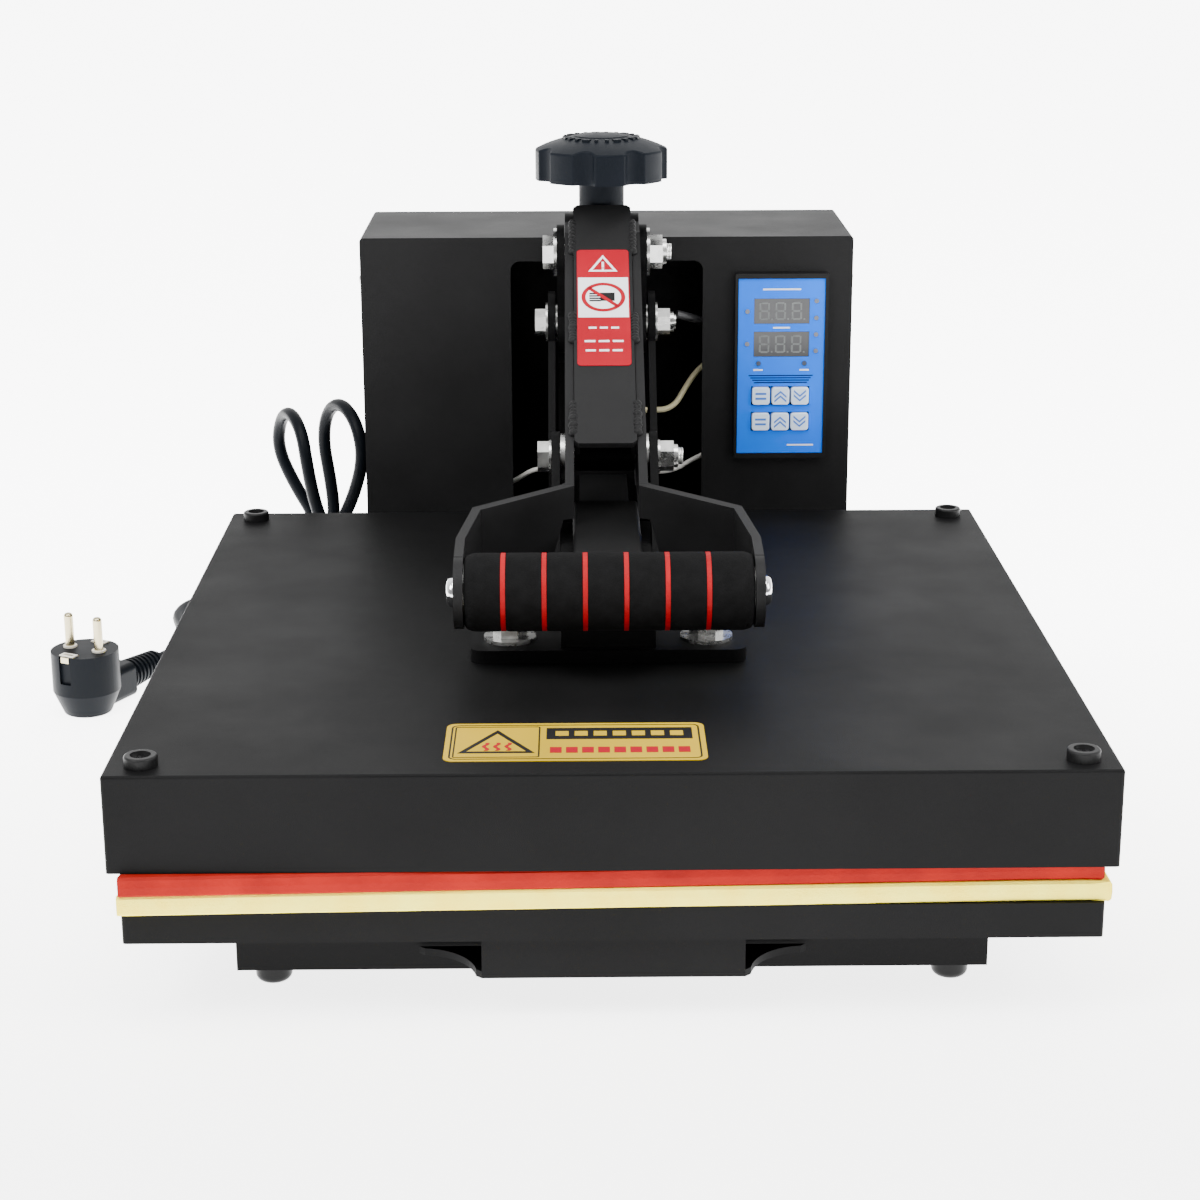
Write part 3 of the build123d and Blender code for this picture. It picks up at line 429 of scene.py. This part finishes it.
def cord_route():
    """Out behind the box, up through two tied loops, then round on the floor to the plug."""
    lead = [(-106, 518, 108.2), (-106, 568, 106), (-124, 592, 56), (-172, 584, 16),
            (-188, 525, 20), (-176, 500, 24), (-166, 489, 26)]
    first_foot = fold((-158, 487), (-146, 437), 30, -26)[1:]
    first_rise = [(-146, 438, 56), (-144, 439, 88), (-136, 438, 104)]
    first_top = fold((-130.4, 434), (-155, 476), 127, 26)
    first_fall = [(-152, 474, 104), (-150, 470, 86), (-154, 472, 58)]
    second_foot = fold((-156, 476), (-160, 431), 33, -26)
    second_rise = [(-156, 437, 58), (-153, 441, 84), (-158, 439, 102)]
    second_top = fold((-161, 434), (-181, 478), 122, 26)
    second_fall = [(-173, 474, 103), (-159, 470, 80), (-164, 474, 56), (-174, 480, 31)]
    on_floor = [(-178, 514), (-169, 547), (-177, 572), (-199, 588), (-225, 588), (-247, 572),
                (-255, 547)]
    tail = [(-178, 494, 10), *((x, behind, CORD_ON_FLOOR) for x, behind in on_floor),
            (-248, 519, 3.8), (-238, 491, 6.5)]
    first_loop = first_foot + first_rise + first_top + first_fall
    second_loop = second_foot + second_rise + second_top + second_fall
    route = lead + first_loop + second_loop + tail
    straight = RELIEF_END + PLUG_BACK * STRAIGHT_RUN * MM
    return [at(*point) for point in route] + [straight, RELIEF_END]


def make_relief_ribs(place):
    """Rings round the plug's strain relief, smaller towards the cord."""
    ribs = Shape()
    for index in range(RIBS):
        start, radius = RIB_START + index * RIB_PITCH, RIB_RADIUS - index * RIB_TAPER
        ribs.turned([(radius - RIB_DEPTH, start), (radius, start + 0.3), (radius, start + 1.7),
                     (radius - RIB_DEPTH, start + 2.0)])
    raised = Matrix.Translation((0, 0, CORD_LEVEL * MM)) @ Matrix.Rotation(-QUARTER, 4, "X")
    return ribs.make("plug_relief_ribs", SHEATH, BASE, place @ raised)


def make_plug_parts():
    """What the plug carries besides its body: ribs, pin collars and earth contacts."""
    place = Matrix.Translation(PLUG_BASE) @ Matrix.Rotation(PLUG_TURN, 4, "Z")
    pieces = [make_relief_ribs(place)]
    collars, contacts = Shape(), Shape()
    for side in (-1, 1):
        pin, earth = side * PIN_OFFSET, side * EARTH_OFFSET
        collars.band(circle(COLLAR_RADIUS, pin), circle(COLLAR_BORE, pin), PLUG_TOP, PLUG_TOP + 1)
        collars.band(rectangle(9.0, 4.4, earth), rectangle(6.4, 2, earth), PLUG_TOP, PLUG_TOP + 0.7)
        contacts.block(0, earth, 5.6, 1.0, PLUG_TOP - 0.4, PLUG_TOP + 0.5)
    pieces.append(collars.make("plug_collars", CREAM, BASE, place))
    pieces.append(contacts.make("plug_earth_springs", BRASS, BASE, place))
    return pieces


def make_tie():
    """Flat tie round the strands of the hank."""
    tie = Shape().band(rounded(31, 39, 6), rounded(29.6, 37.6, 5.3), -TIE_HALF, TIE_HALF)
    return tie.make("cord_tie", PLASTIC, BASE, Matrix.Translation(TIE_CENTRE))


def make_gland_sleeve(start):
    """Tapered rubber sleeve where the cord leaves the box."""
    profile = [(3.55, 0), (6.2, 0), (6.2, 3), (5.4, 8), (4.6, 18), (4.3, 24), (3.55, 24.4)]
    place = Matrix.Translation(start) @ Matrix.Rotation(-QUARTER, 4, "X")
    return Shape().turned(profile).make("gland_sleeve", RUBBER, BASE, place, smooth=True)


def cord_curve(route):
    """The cord as one open curve with a round section."""
    data = bpy.data.curves.new("mains_cord", "CURVE")
    data.dimensions = "3D"
    spline = data.splines.new("NURBS")
    spline.points.add(len(route) - 1)
    for point, place in zip(spline.points, route):
        point.co = (*place, 1.0)
    spline.order_u = 3
    spline.use_endpoint_u = True
    spline.resolution_u = 10
    data.bevel_depth = CORD_DIAMETER / 2
    data.bevel_resolution = 5
    data.use_fill_caps = True
    data.materials.append(SHEATH)
    cord = bpy.data.objects.new("mains_cord", data)
    bpy.context.collection.objects.link(cord)
    return cord


def make_cord():
    """The cord with all that hangs on it, in place of the three CAD stand-ins."""
    route = cord_route()
    cord = cord_curve(route)
    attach(cord, BASE)
    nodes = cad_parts
    carried = [nodes["plug_body"], nodes["plug_contacts"], make_tie(), make_gland_sleeve(route[0]),
               *make_plug_parts()]
    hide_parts("cord_lead", "cord_hank", "cord_tail")


# ---- soft pieces ----
RIM_STEPS, RIM_MEMORY, RIM_DRIFT = 48, 0.86, 0.3
RINGS, RING_PITCH, RING_SHIFT = 6, 17.25, -1.4
PINCH_DEPTH, PINCH_WIDTH = 0.55, 1.3
FOAM_STEPS, FOAM_END = 160, 4.5


def cut_rim(corners, seed, wave):
    """Points along the pad's edge as (place, outward, move in mm), a little uneven."""
    rng = random.Random(seed)
    outline, drift = [], 0.0
    for start, end in zip(corners, corners[1:] + corners[:1]):
        run = end - start
        outward = Vector((run.y, -run.x)).normalized()
        for step in range(RIM_STEPS):
            drift = RIM_MEMORY * drift + rng.uniform(-1, 0) * wave * RIM_DRIFT
            move = drift * min(1, step / 4, (RIM_STEPS - step) / 4)
            outline.append((start + run * step / RIM_STEPS, outward, move))
    return outline


def slab(node, name, material, seed, wave):
    """Flexible pad over a CAD pad: rounded edges and a slightly uneven, hand-cut rim."""
    low, high = extent(node)
    thick = (high.z - low.z) / MM
    # inset and height of each loop round the pad, from its bottom to its top
    rows = [(1.2, 0.0), (0.2, thick * 0.12), (0.0, thick * 0.5), (0.2, thick * 0.88), (1.2, thick)]
    outline = cut_rim(pad_corners(node), seed, wave)
    count = len(outline)
    points, faces = [], []
    for inset, z in rows:
        for place, outward, move in outline:
            spot = place + outward * ((move - inset) * MM)
            points.append((spot.x / MM, spot.y / MM, low.z / MM + z))
    for row in range(len(rows) - 1):
        here, above = row * count, (row + 1) * count
        faces += [(here + i, here + (i + 1) % count, above + (i + 1) % count, above + i)
                  for i in range(count)]
    faces += [tuple(reversed(range(count))),
              tuple(range((len(rows) - 1) * count, len(rows) * count))]
    piece = Shape().add(points, faces).make(name, material, BASE)
    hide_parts(node)


def pad_corners(node):
    """The four outermost corners of a CAD pad, anticlockwise from the front left."""
    spots = [vertex.co.to_2d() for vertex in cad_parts[node].data.vertices]
    signs = ((-1, -1), (1, -1), (1, 1), (-1, 1))
    return [max(spots, key=lambda spot: spot.x * sx + spot.y * sy) for sx, sy in signs]


def make_foam():
    """Foam sleeve pinched a little where the red rings sit in it, with soft ends."""
    low, high = extent("foam_grip")
    half, radius = (high.x - low.x) / 2 / MM, (high.z - low.z) / 2 / MM
    rings = [(index - (RINGS - 1) / 2) * RING_PITCH + RING_SHIFT for index in range(RINGS)]
    ends = [(12.6, 0.8), (radius - 2.7, 0.1), (radius - 1.1, 1.2), (radius - 0.3, 3.4)]
    profile = [(reach, -half + inset) for reach, inset in ends]
    for step in range(FOAM_STEPS + 1):
        x = (-half + FOAM_END) + 2 * (half - FOAM_END) * step / FOAM_STEPS
        near = min(abs(x - ring) for ring in rings)
        profile.append((radius - 0.05 - PINCH_DEPTH * math.exp(-(near / PINCH_WIDTH) ** 2), x))
    profile += [(reach, half - inset) for reach, inset in reversed(ends)]
    place = along_x(middle("foam_grip"))
    piece = Shape().turned(profile, 72).make("foam_sleeve", FOAM, HANDLE, place, smooth=True)
    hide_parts("foam_grip")


# ---- fastener detail ----
BOLT_RADIUS, THREAD_PITCH, THREAD_TURNS = 4.0, 1.25, 2
STUD_X, STUD_FRONT, STUD_REAR, STUD_END = 43, 151.5, 239, 120.9
CAP_INSET = 6.6 * MM
RECESS_LOW, RECESS_HIGH = 110.01, 110.06
RECESS_REACH, RECESS_HALF = 3.0, 0.45
WELD_X, WELD_FOOT = 14.8, (0, 215, 184.2)
WELD_RUN = at(0, 362, 273.4) - at(0, 215, 185.6)
WELD_SHARES = {"upper": (0.80, 0.93), "middle": (0.42, 0.52), "lower": (0.05, 0.16)}
WELD_LUMPS, LUMP_SMALL, LUMP_LARGE = 9, 1.9, 2.5


def thread(name, body, place):
    """Crests of a screw thread on a bolt's end."""
    root, flank, crest = BOLT_RADIUS - 0.3, BOLT_RADIUS - 0.05, BOLT_RADIUS + 0.22
    profile = [(root, 0)]
    for turn in range(THREAD_TURNS):
        base = turn * THREAD_PITCH
        profile += [(flank, base + 0.1), (crest, base + THREAD_PITCH / 2),
                    (flank, base + THREAD_PITCH - 0.1)]
    profile.append((root, THREAD_TURNS * THREAD_PITCH))
    Shape().turned(profile, 32).make(name, ZINC, body, place)


def make_threads():
    """Threads past the nuts of the two upper bolts and the four platen studs."""
    thread("handle_pivot_thread", BASE, along_x(at(32.9, 376, 247.6)))
    thread("link_top_thread", HANDLE, along_x(at(35.0, 271, 166)))
    spots = [(x, behind) for behind in (STUD_FRONT, STUD_REAR) for x in (-STUD_X, STUD_X)]
    for index, (x, behind) in enumerate(spots):
        place = Matrix.Translation(at(x, behind, STUD_END))
        thread(f"platen_stud_thread_{index + 1}", ARM, place)


def make_recess_shade():
    """Flat dark crosses on the four corner screws of the cover: painted shade standing in for their
    cross recesses.
    """
    low, high = extent("corner_caps")
    shade_crosses = Shape()
    turns = (0.3, 1.1, 0.7, 0.2)
    spots = [(x, y) for x in (low.x + CAP_INSET, high.x - CAP_INSET)
             for y in (low.y + CAP_INSET, high.y - CAP_INSET)]
    ends = [(RECESS_REACH, -RECESS_HALF), (RECESS_REACH, RECESS_HALF),
            (-RECESS_REACH, RECESS_HALF), (-RECESS_REACH, -RECESS_HALF)]
    for (x, y), turn in zip(spots, turns):
        for extra in (0, QUARTER):
            c, s = math.cos(turn + extra), math.sin(turn + extra)
            outline = [(x / MM + a * c - b * s, y / MM + a * s + b * c) for a, b in ends]
            shade_crosses.prism(outline, RECESS_LOW, RECESS_HIGH)
    # painted shade: the cross recesses are drawn as thin flat dark crosses, not cut into the screws
    shade_crosses.make("corner_screw_recess_shade", DARK_PRINT_AND_SHADE, ARM)


def make_box_screws():
    """Pan-head screws along the sides of the control box."""
    low, high = extent("box_cover")
    dome = [(0, 1.9), (1.4, 1.75), (2.5, 1.2), (3.1, 0.3), (3.1, -0.3)]
    spots = [(behind, z) for behind in (424, 497) for z in (60, 226)]
    for side, x in (("left", low.x), ("right", high.x)):
        for index, (behind, z) in enumerate(spots):
            place = along_x(at(x / MM, behind, z), side == "left")
            name = f"box_{side}_screw_{index + 1}"
            Shape().turned(dome, 24).make(name, ZINC, BASE, place, smooth=True)


def weld_bead(rng, side, begin, end):
    """Row of overlapping balls between two shares of the hood's edge."""
    bead = Shape()
    for index in range(WELD_LUMPS):
        share = begin + (end - begin) * index / (WELD_LUMPS - 1)
        spot = (at(*WELD_FOOT) + WELD_RUN * share) / MM
        centre = Vector((side * WELD_X, spot.y, spot.z))
        radius = rng.uniform(LUMP_SMALL, LUMP_LARGE)
        angles = [math.pi * step / 6 for step in range(7)]
        ball = [(radius * math.sin(angle), -radius * math.cos(angle)) for angle in angles]
        lump = Shape().turned(ball, 12)
        bead.add([point + centre for point in lump.points], lump.faces)
    return bead


def make_welds():
    """Lumpy beads that join the hood to the yoke plates."""
    rng = random.Random(7)
    for side, side_name in ((-1, "left"), (1, "right")):
        for name, (begin, end) in WELD_SHARES.items():
            bead = weld_bead(rng, side, begin, end)
            bead.make(f"{name}_{side_name}_weld", WELD, HANDLE, smooth=True)


# ---- knob ----
CROWN_RADIUS = 76.8
RING_RADIUS, STROKE_IN, STROKE_OUT = 13.5, 16.0, 19.5
STROKES, THIN_STROKE, WIDE_STROKE = 22, 0.045, 0.10


def sag(radius):
    """Drop of the knob's crown at a radius."""
    return -radius * radius / (2 * CROWN_RADIUS)


def make_knob_marks():
    """Raised ring and short strokes on the knob's crown."""
    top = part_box("pressure_knob")[1][2]
    centre = middle("pressure_knob")
    level = sag(RING_RADIUS)
    marks = Shape()
    marks.turned([(RING_RADIUS - 0.6, level - 0.3), (RING_RADIUS - 0.3, level + 0.3),
                  (RING_RADIUS + 0.3, level + 0.25), (RING_RADIUS + 0.6, level - 0.4)])
    for index in range(STROKES):
        angle = math.tau * index / STROKES
        half = THIN_STROKE if index % 3 else WIDE_STROKE
        corners = ((STROKE_IN, -half), (STROKE_OUT, -half), (STROKE_OUT, half), (STROKE_IN, half))
        outline = [(r * math.cos(angle + s), r * math.sin(angle + s)) for r, s in corners]
        marks.prism(outline, sag(STROKE_OUT) - 0.3, sag(STROKE_IN) + 0.25)
    marks.make("knob_marks", KNOB, "knob", Matrix.Translation((centre.x, centre.y, top)))


# ---- labels ----
LABEL_FACE = 0.17
PRINT_TOP = LABEL_FACE + 0.08
SIGN_Y = 6.5
SIGN_X, FIELD_X, FIELD_Y, RED_ROW_Y = -31, 17.5, 9.2, -9.5
WAVE_WIDTH, WAVE_SWING, WAVE_STEP, WAVE_SPACING, WAVE_FOOT = 1.5, 0.8, 1.1, 4.4, -10


def hood_frame():
    """Place on the hood's label: X across, Y up the slope, Z out of the face."""
    low, high = extent("warning_label")
    slope = math.atan2(high.z - low.z, high.y - low.y)
    return Matrix.Translation(middle("warning_label")) @ Matrix.Rotation(slope, 4, "X")


def make_hood_label():
    """Generic signs: triangle, crossed-out hand in a ring, rows of bars."""
    place = hood_frame()
    white = Shape().block(0, SIGN_Y, 24.2, 29, LABEL_FACE, LABEL_FACE + 0.06)
    white.make("label_white_panel", MARK_WHITE, HANDLE, place)
    marks = Shape()
    marks.band(triangle(8.2, 0, 29.6), triangle(5.9, 0, 29.6), LABEL_FACE, PRINT_TOP)
    marks.block(0, 30.6, 1.1, 4.2, LABEL_FACE, PRINT_TOP)
    marks.block(0, 27.2, 1.1, 1.1, LABEL_FACE, PRINT_TOP)
    for row, width in ((-15.5, 16), (-25.0, 20), (-31.5, 19)):
        for offset in (-width / 3, 0, width / 3):
            marks.block(offset, row, width / 3 - 1.6, 1.3, LABEL_FACE, PRINT_TOP)
    marks.make("label_white_marks", MARK_WHITE, HANDLE, place)
    ring_low, ring_high = LABEL_FACE + 0.12, LABEL_FACE + 0.2
    ring = Shape().band(circle(10.6, 0, SIGN_Y), circle(8.6, 0, SIGN_Y), ring_low, ring_high)
    ring.prism([(-7.6, 12.6), (-6.3, 14.0), (7.6, 0.4), (6.3, -1.0)], ring_low, ring_high)
    ring.make("label_red_ring", LABEL_RED, HANDLE, place)
    palm_low, palm_high = LABEL_FACE + 0.06, LABEL_FACE + 0.12
    hand = Shape().block(2.0, 6.8, 7.0, 6.0, palm_low, palm_high)
    for index in range(4):
        hand.block(-4.0, 9.1 - index * 1.7, 5.6, 1.1, palm_low, palm_high)
    hand.make("label_dark_hand", DARK_PRINT_AND_SHADE, HANDLE, place)


def add_heat_waves(shape):
    """Three wavy lines inside the hot-surface triangle."""
    for index in (-1, 0, 1):
        left = SIGN_X - 0.6 + index * WAVE_SPACING
        wave = [(left + WAVE_SWING * math.sin(step * WAVE_STEP), WAVE_FOOT + step * WAVE_STEP)
                for step in range(9)]
        for start, end in zip(wave, wave[1:]):
            far = [(x + WAVE_WIDTH, y) for x, y in (start, end)]
            shape.prism([start, *far, end], 0.08, 0.12)


def make_caution_marks():
    """Generic hot-surface plate: border, framed triangle with heat waves, rows of gold and red."""
    centre = middle("caution_plate")
    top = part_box("caution_plate")[1][2]
    place = Matrix.Translation((centre.x, centre.y, top))
    dark, red, gold = Shape(), Shape(), Shape()
    dark.band(rounded(99, 39, 3), rounded(97.6, 37.6, 2.4), 0.01, 0.06)
    dark.band(shifted(rounded(34, 35, 1), SIGN_X), shifted(rounded(32.8, 33.8, 0.6), SIGN_X),
              0.01, 0.07)
    dark.band(triangle(17.5, SIGN_X, -4), triangle(13.6, SIGN_X, -4), 0.01, 0.08)
    dark.block(FIELD_X, FIELD_Y, 58, 13, 0.01, 0.07)
    for index in range(-3, 4):
        gold.block(FIELD_X + index * 7.6, FIELD_Y, 5.2, 5.4, 0.07, 0.1)
    for index in range(-4, 5):
        red.block(FIELD_X + index * 6.3, RED_ROW_Y, 4.6, 6.4, 0.01, 0.07)
    add_heat_waves(red)
    dark.make("caution_dark_print", DARK_PRINT_AND_SHADE, ARM, place)
    red.make("caution_red_print", LABEL_RED, ARM, place)
    gold.make("caution_gold_bars", GOLD, ARM, place)


# ---- controller ----
WINDOW_HEIGHT = 13.4
DIGIT_WIDTH, DIGIT_HEIGHT, DIGIT_SHIFT, DIGIT_SPACING = 5.4, 9.4, -0.6, 0.29
SEGMENT_WIDTH, SEGMENT_RISE = 0.9, 0.12
LAMPS = ((-18.0, 29.5), (-18.0, 12.2), (18.3, 35.0), (18.3, 26.0), (18.3, 17.2), (18.3, 8.4),
         (-11.8, 1.8), (12.4, 1.8))
WHITE_BARS = ((0, 41.2, 20), (0, 20.8, 9), (-12.0, -1.8, 5.0), (12.4, -1.8, 5.0), (11.0, -42.5, 14))
LINES, LINE_TOP, LINE_PITCH, LINE_HALF = 4, -4.8, 1.25, 17.0
MARK_RISE, CHEVRON_HALF, CHEVRON_RISE, CHEVRON_THICK = 0.12, 3.2, 1.4, 1.1


def seven_segments(shape, x, z):
    """An unlit figure eight of seven bars."""
    thin, width, height = SEGMENT_WIDTH, DIGIT_WIDTH, DIGIT_HEIGHT
    for level in (-1, 0, 1):
        middle_z = z + level * (height - thin) / 2
        shape.block(x, middle_z, width - 2 * thin, thin, 0.0, SEGMENT_RISE)
    for side in (-1, 1):
        for half in (-1, 1):
            spot = (x + side * (width - thin) / 2, z + half * height / 4)
            shape.block(*spot, thin, height / 2 - thin, 0.0, SEGMENT_RISE)


def make_displays():
    """Three unlit digits with their points in each window."""
    low, high = extent("display_windows")
    centre_x, width = (low.x + high.x) / 2 / MM, (high.x - low.x) / MM
    rows = {"temperature_digits": high.z / MM - WINDOW_HEIGHT / 2,
            "time_digits": low.z / MM + WINDOW_HEIGHT / 2}
    for name, z in rows.items():
        digits = Shape()
        for index in (-1, 0, 1):
            x = centre_x + index * width * DIGIT_SPACING + DIGIT_SHIFT
            seven_segments(digits, x, z)
            digits.block(x + 4.0, z - 4.2, SEGMENT_WIDTH, SEGMENT_WIDTH, 0.0, SEGMENT_RISE)
        digits.make(name, SEGMENT, BASE, facing_front((0, low.y, 0)))


def make_panel_print():
    """Indicator lamps, heading bars and the linked lines on the blue face."""
    low, high = extent("controller_faceplate")
    place = facing_front((0, low.y, 0))
    px, pz = (low.x + high.x) / 2 / MM, (low.z + high.z) / 2 / MM
    lamps, white, lines = Shape(), Shape(), Shape()
    for x, z in LAMPS:
        lamps.prism(circle(1.3, px + x, pz + z, 20), 0.02, 0.5)
    for x, z, width in WHITE_BARS:
        white.block(px + x, pz + z, width, 0.9, 0.02, 0.07)
    for index in range(LINES):
        width = 2 * (LINE_HALF - index)
        lines.block(px, pz + LINE_TOP - index * LINE_PITCH, width, 0.55, 0.02, 0.08)
    lamps.make("panel_lamps", LED, BASE, place)
    white.make("panel_white_bars", MARK_WHITE, BASE, place)
    lines.make("panel_dark_lines", DARK_PRINT_AND_SHADE, BASE, place)


def chevron(way, offset):
    """Arrow outline that points up or down as way is 1 or -1."""
    tip, foot = way * (offset + CHEVRON_RISE), way * (offset - CHEVRON_RISE)
    thick = way * CHEVRON_THICK
    outline = [(-CHEVRON_HALF, foot), (0, tip), (CHEVRON_HALF, foot), (CHEVRON_HALF, foot - thick),
               (0, tip - thick), (-CHEVRON_HALF, foot - thick)]
    return outline[::way]


def make_button_marks():
    """Two bars on the select keys, double arrows on the others."""
    for row in ("temperature", "time"):
        for kind in ("select", "up", "down"):
            node = f"{row}_{kind}_button"
            centre, front = middle(node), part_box(node)[0][1]
            marks = Shape()
            if kind == "select":
                for offset in (-1.3, 1.3):
                    marks.block(0, offset, 5.8, 1.1, 0, MARK_RISE)
            else:
                for offset in (-0.9, 1.5):
                    marks.prism(chevron(1 if kind == "up" else -1, offset), 0, MARK_RISE)
            place = facing_front((centre.x, front, centre.z))
            marks.make(f"{node}_mark", MARK_BLUE, f"{row}_{kind}_key", place)


def make_switch_marks():
    """Plain ring and bar on the mains rocker."""
    low, high = extent("switch_rocker")
    centre = (low + high) / 2
    spot = (centre.x, high.y - 0.0006, centre.z)
    place = Matrix.Translation(spot) @ Matrix.Rotation(-QUARTER, 4, "X")
    marks = Shape().block(0, -5.2, 0.9, 4, 0, 0.7)
    marks.band(circle(2.0, 0, 5.2), circle(1.3, 0, 5.2), 0, 0.7)
    marks.make("switch_marks", MARK_WHITE, "power_switch", place)


# ---- studio ----
ROOM, BACKDROP = 0.40, 2.3
FLOOR_GLOW, FLOOR_GLOW_BEHIND = 3.2, 7.0
FLOOR_HALF = 30000


def area_light(name, place, target, size, power):
    """Square lamp aimed at a point."""
    data = bpy.data.lights.new(name, "AREA")
    data.shape, data.size, data.energy = "SQUARE", size, power
    lamp = bpy.data.objects.new(name, data)
    lamp.location = place
    lamp.rotation_euler = (Vector(target) - Vector(place)).to_track_quat("-Z", "Y").to_euler()
    bpy.context.collection.objects.link(lamp)


def graded(tree, source, start, end, near, far):
    """Value that goes from near to far as the source's Y goes from start to end."""
    split = tree.nodes.new("ShaderNodeSeparateXYZ")
    tree.links.new(source, split.inputs["Vector"])
    node = tree.nodes.new("ShaderNodeMapRange")
    node.inputs["From Min"].default_value, node.inputs["From Max"].default_value = start, end
    node.inputs["To Min"].default_value, node.inputs["To Max"].default_value = near, far
    tree.links.new(split.outputs["Y"], node.inputs["Value"])
    return node.outputs["Result"]


def make_floor():
    """Wide pale floor that glows more behind the press."""
    made, tree, surface, where = shader("studio_floor")
    surface.inputs["Base Color"].default_value = (0.93, 0.93, 0.93, 1)
    surface.inputs["Roughness"].default_value = 0.9
    surface.inputs["Emission Color"].default_value = (1, 1, 1, 1)
    glow = graded(tree, where, FRONT_Y - 0.1, FRONT_Y + 0.6, FLOOR_GLOW, FLOOR_GLOW_BEHIND)
    tree.links.new(glow, surface.inputs["Emission Strength"])
    half = FLOOR_HALF
    corners = [(-half, -half, 0), (half, -half, 0), (half, half, 0), (-half, half, 0)]
    floor = Shape().add(corners, [(0, 1, 2, 3)])
    floor.make("studio_floor", made, BASE, ride=False)


def make_world():
    """White room, brighter behind the press than in front of it."""
    world = bpy.data.worlds.new("studio_world")
    world.use_nodes = True
    tree = world.node_tree
    direction = tree.nodes.new("ShaderNodeTexCoord").outputs["Generated"]
    background = tree.nodes["Background"]
    strength = graded(tree, direction, -0.6, 0.7, ROOM, BACKDROP)
    tree.links.new(strength, background.inputs["Strength"])
    background.inputs["Color"].default_value = (1, 1, 1, 1)
    bpy.context.scene.world = world


def make_lights():
    """Soft key from the left, weaker fill from the right, and one overhead."""
    area_light("key_light", (-1.0, -1.0, 1.6), (0, 0, 0.1), 1.0, 40)
    area_light("fill_light", (1.3, -0.8, 1.2), (0, 0, 0.1), 1.0, 24)
    area_light("top_light", (0.1, -0.5, 2.0), (0, 0.05, 0.1), 1.0, 30)


add_camera()
dress_nodes()
make_cord()
slab("felt_pad", "felt_sheet", FELT, 3, 0.5)
slab("silicone_pad", "silicone_sheet", SILICONE, 5, 0.4)
make_foam()
make_threads()
make_recess_shade()
make_box_screws()
make_welds()
make_knob_marks()
make_hood_label()
make_caution_marks()
make_displays()
make_panel_print()
make_button_marks()
make_switch_marks()
make_floor()
make_world()
make_lights()
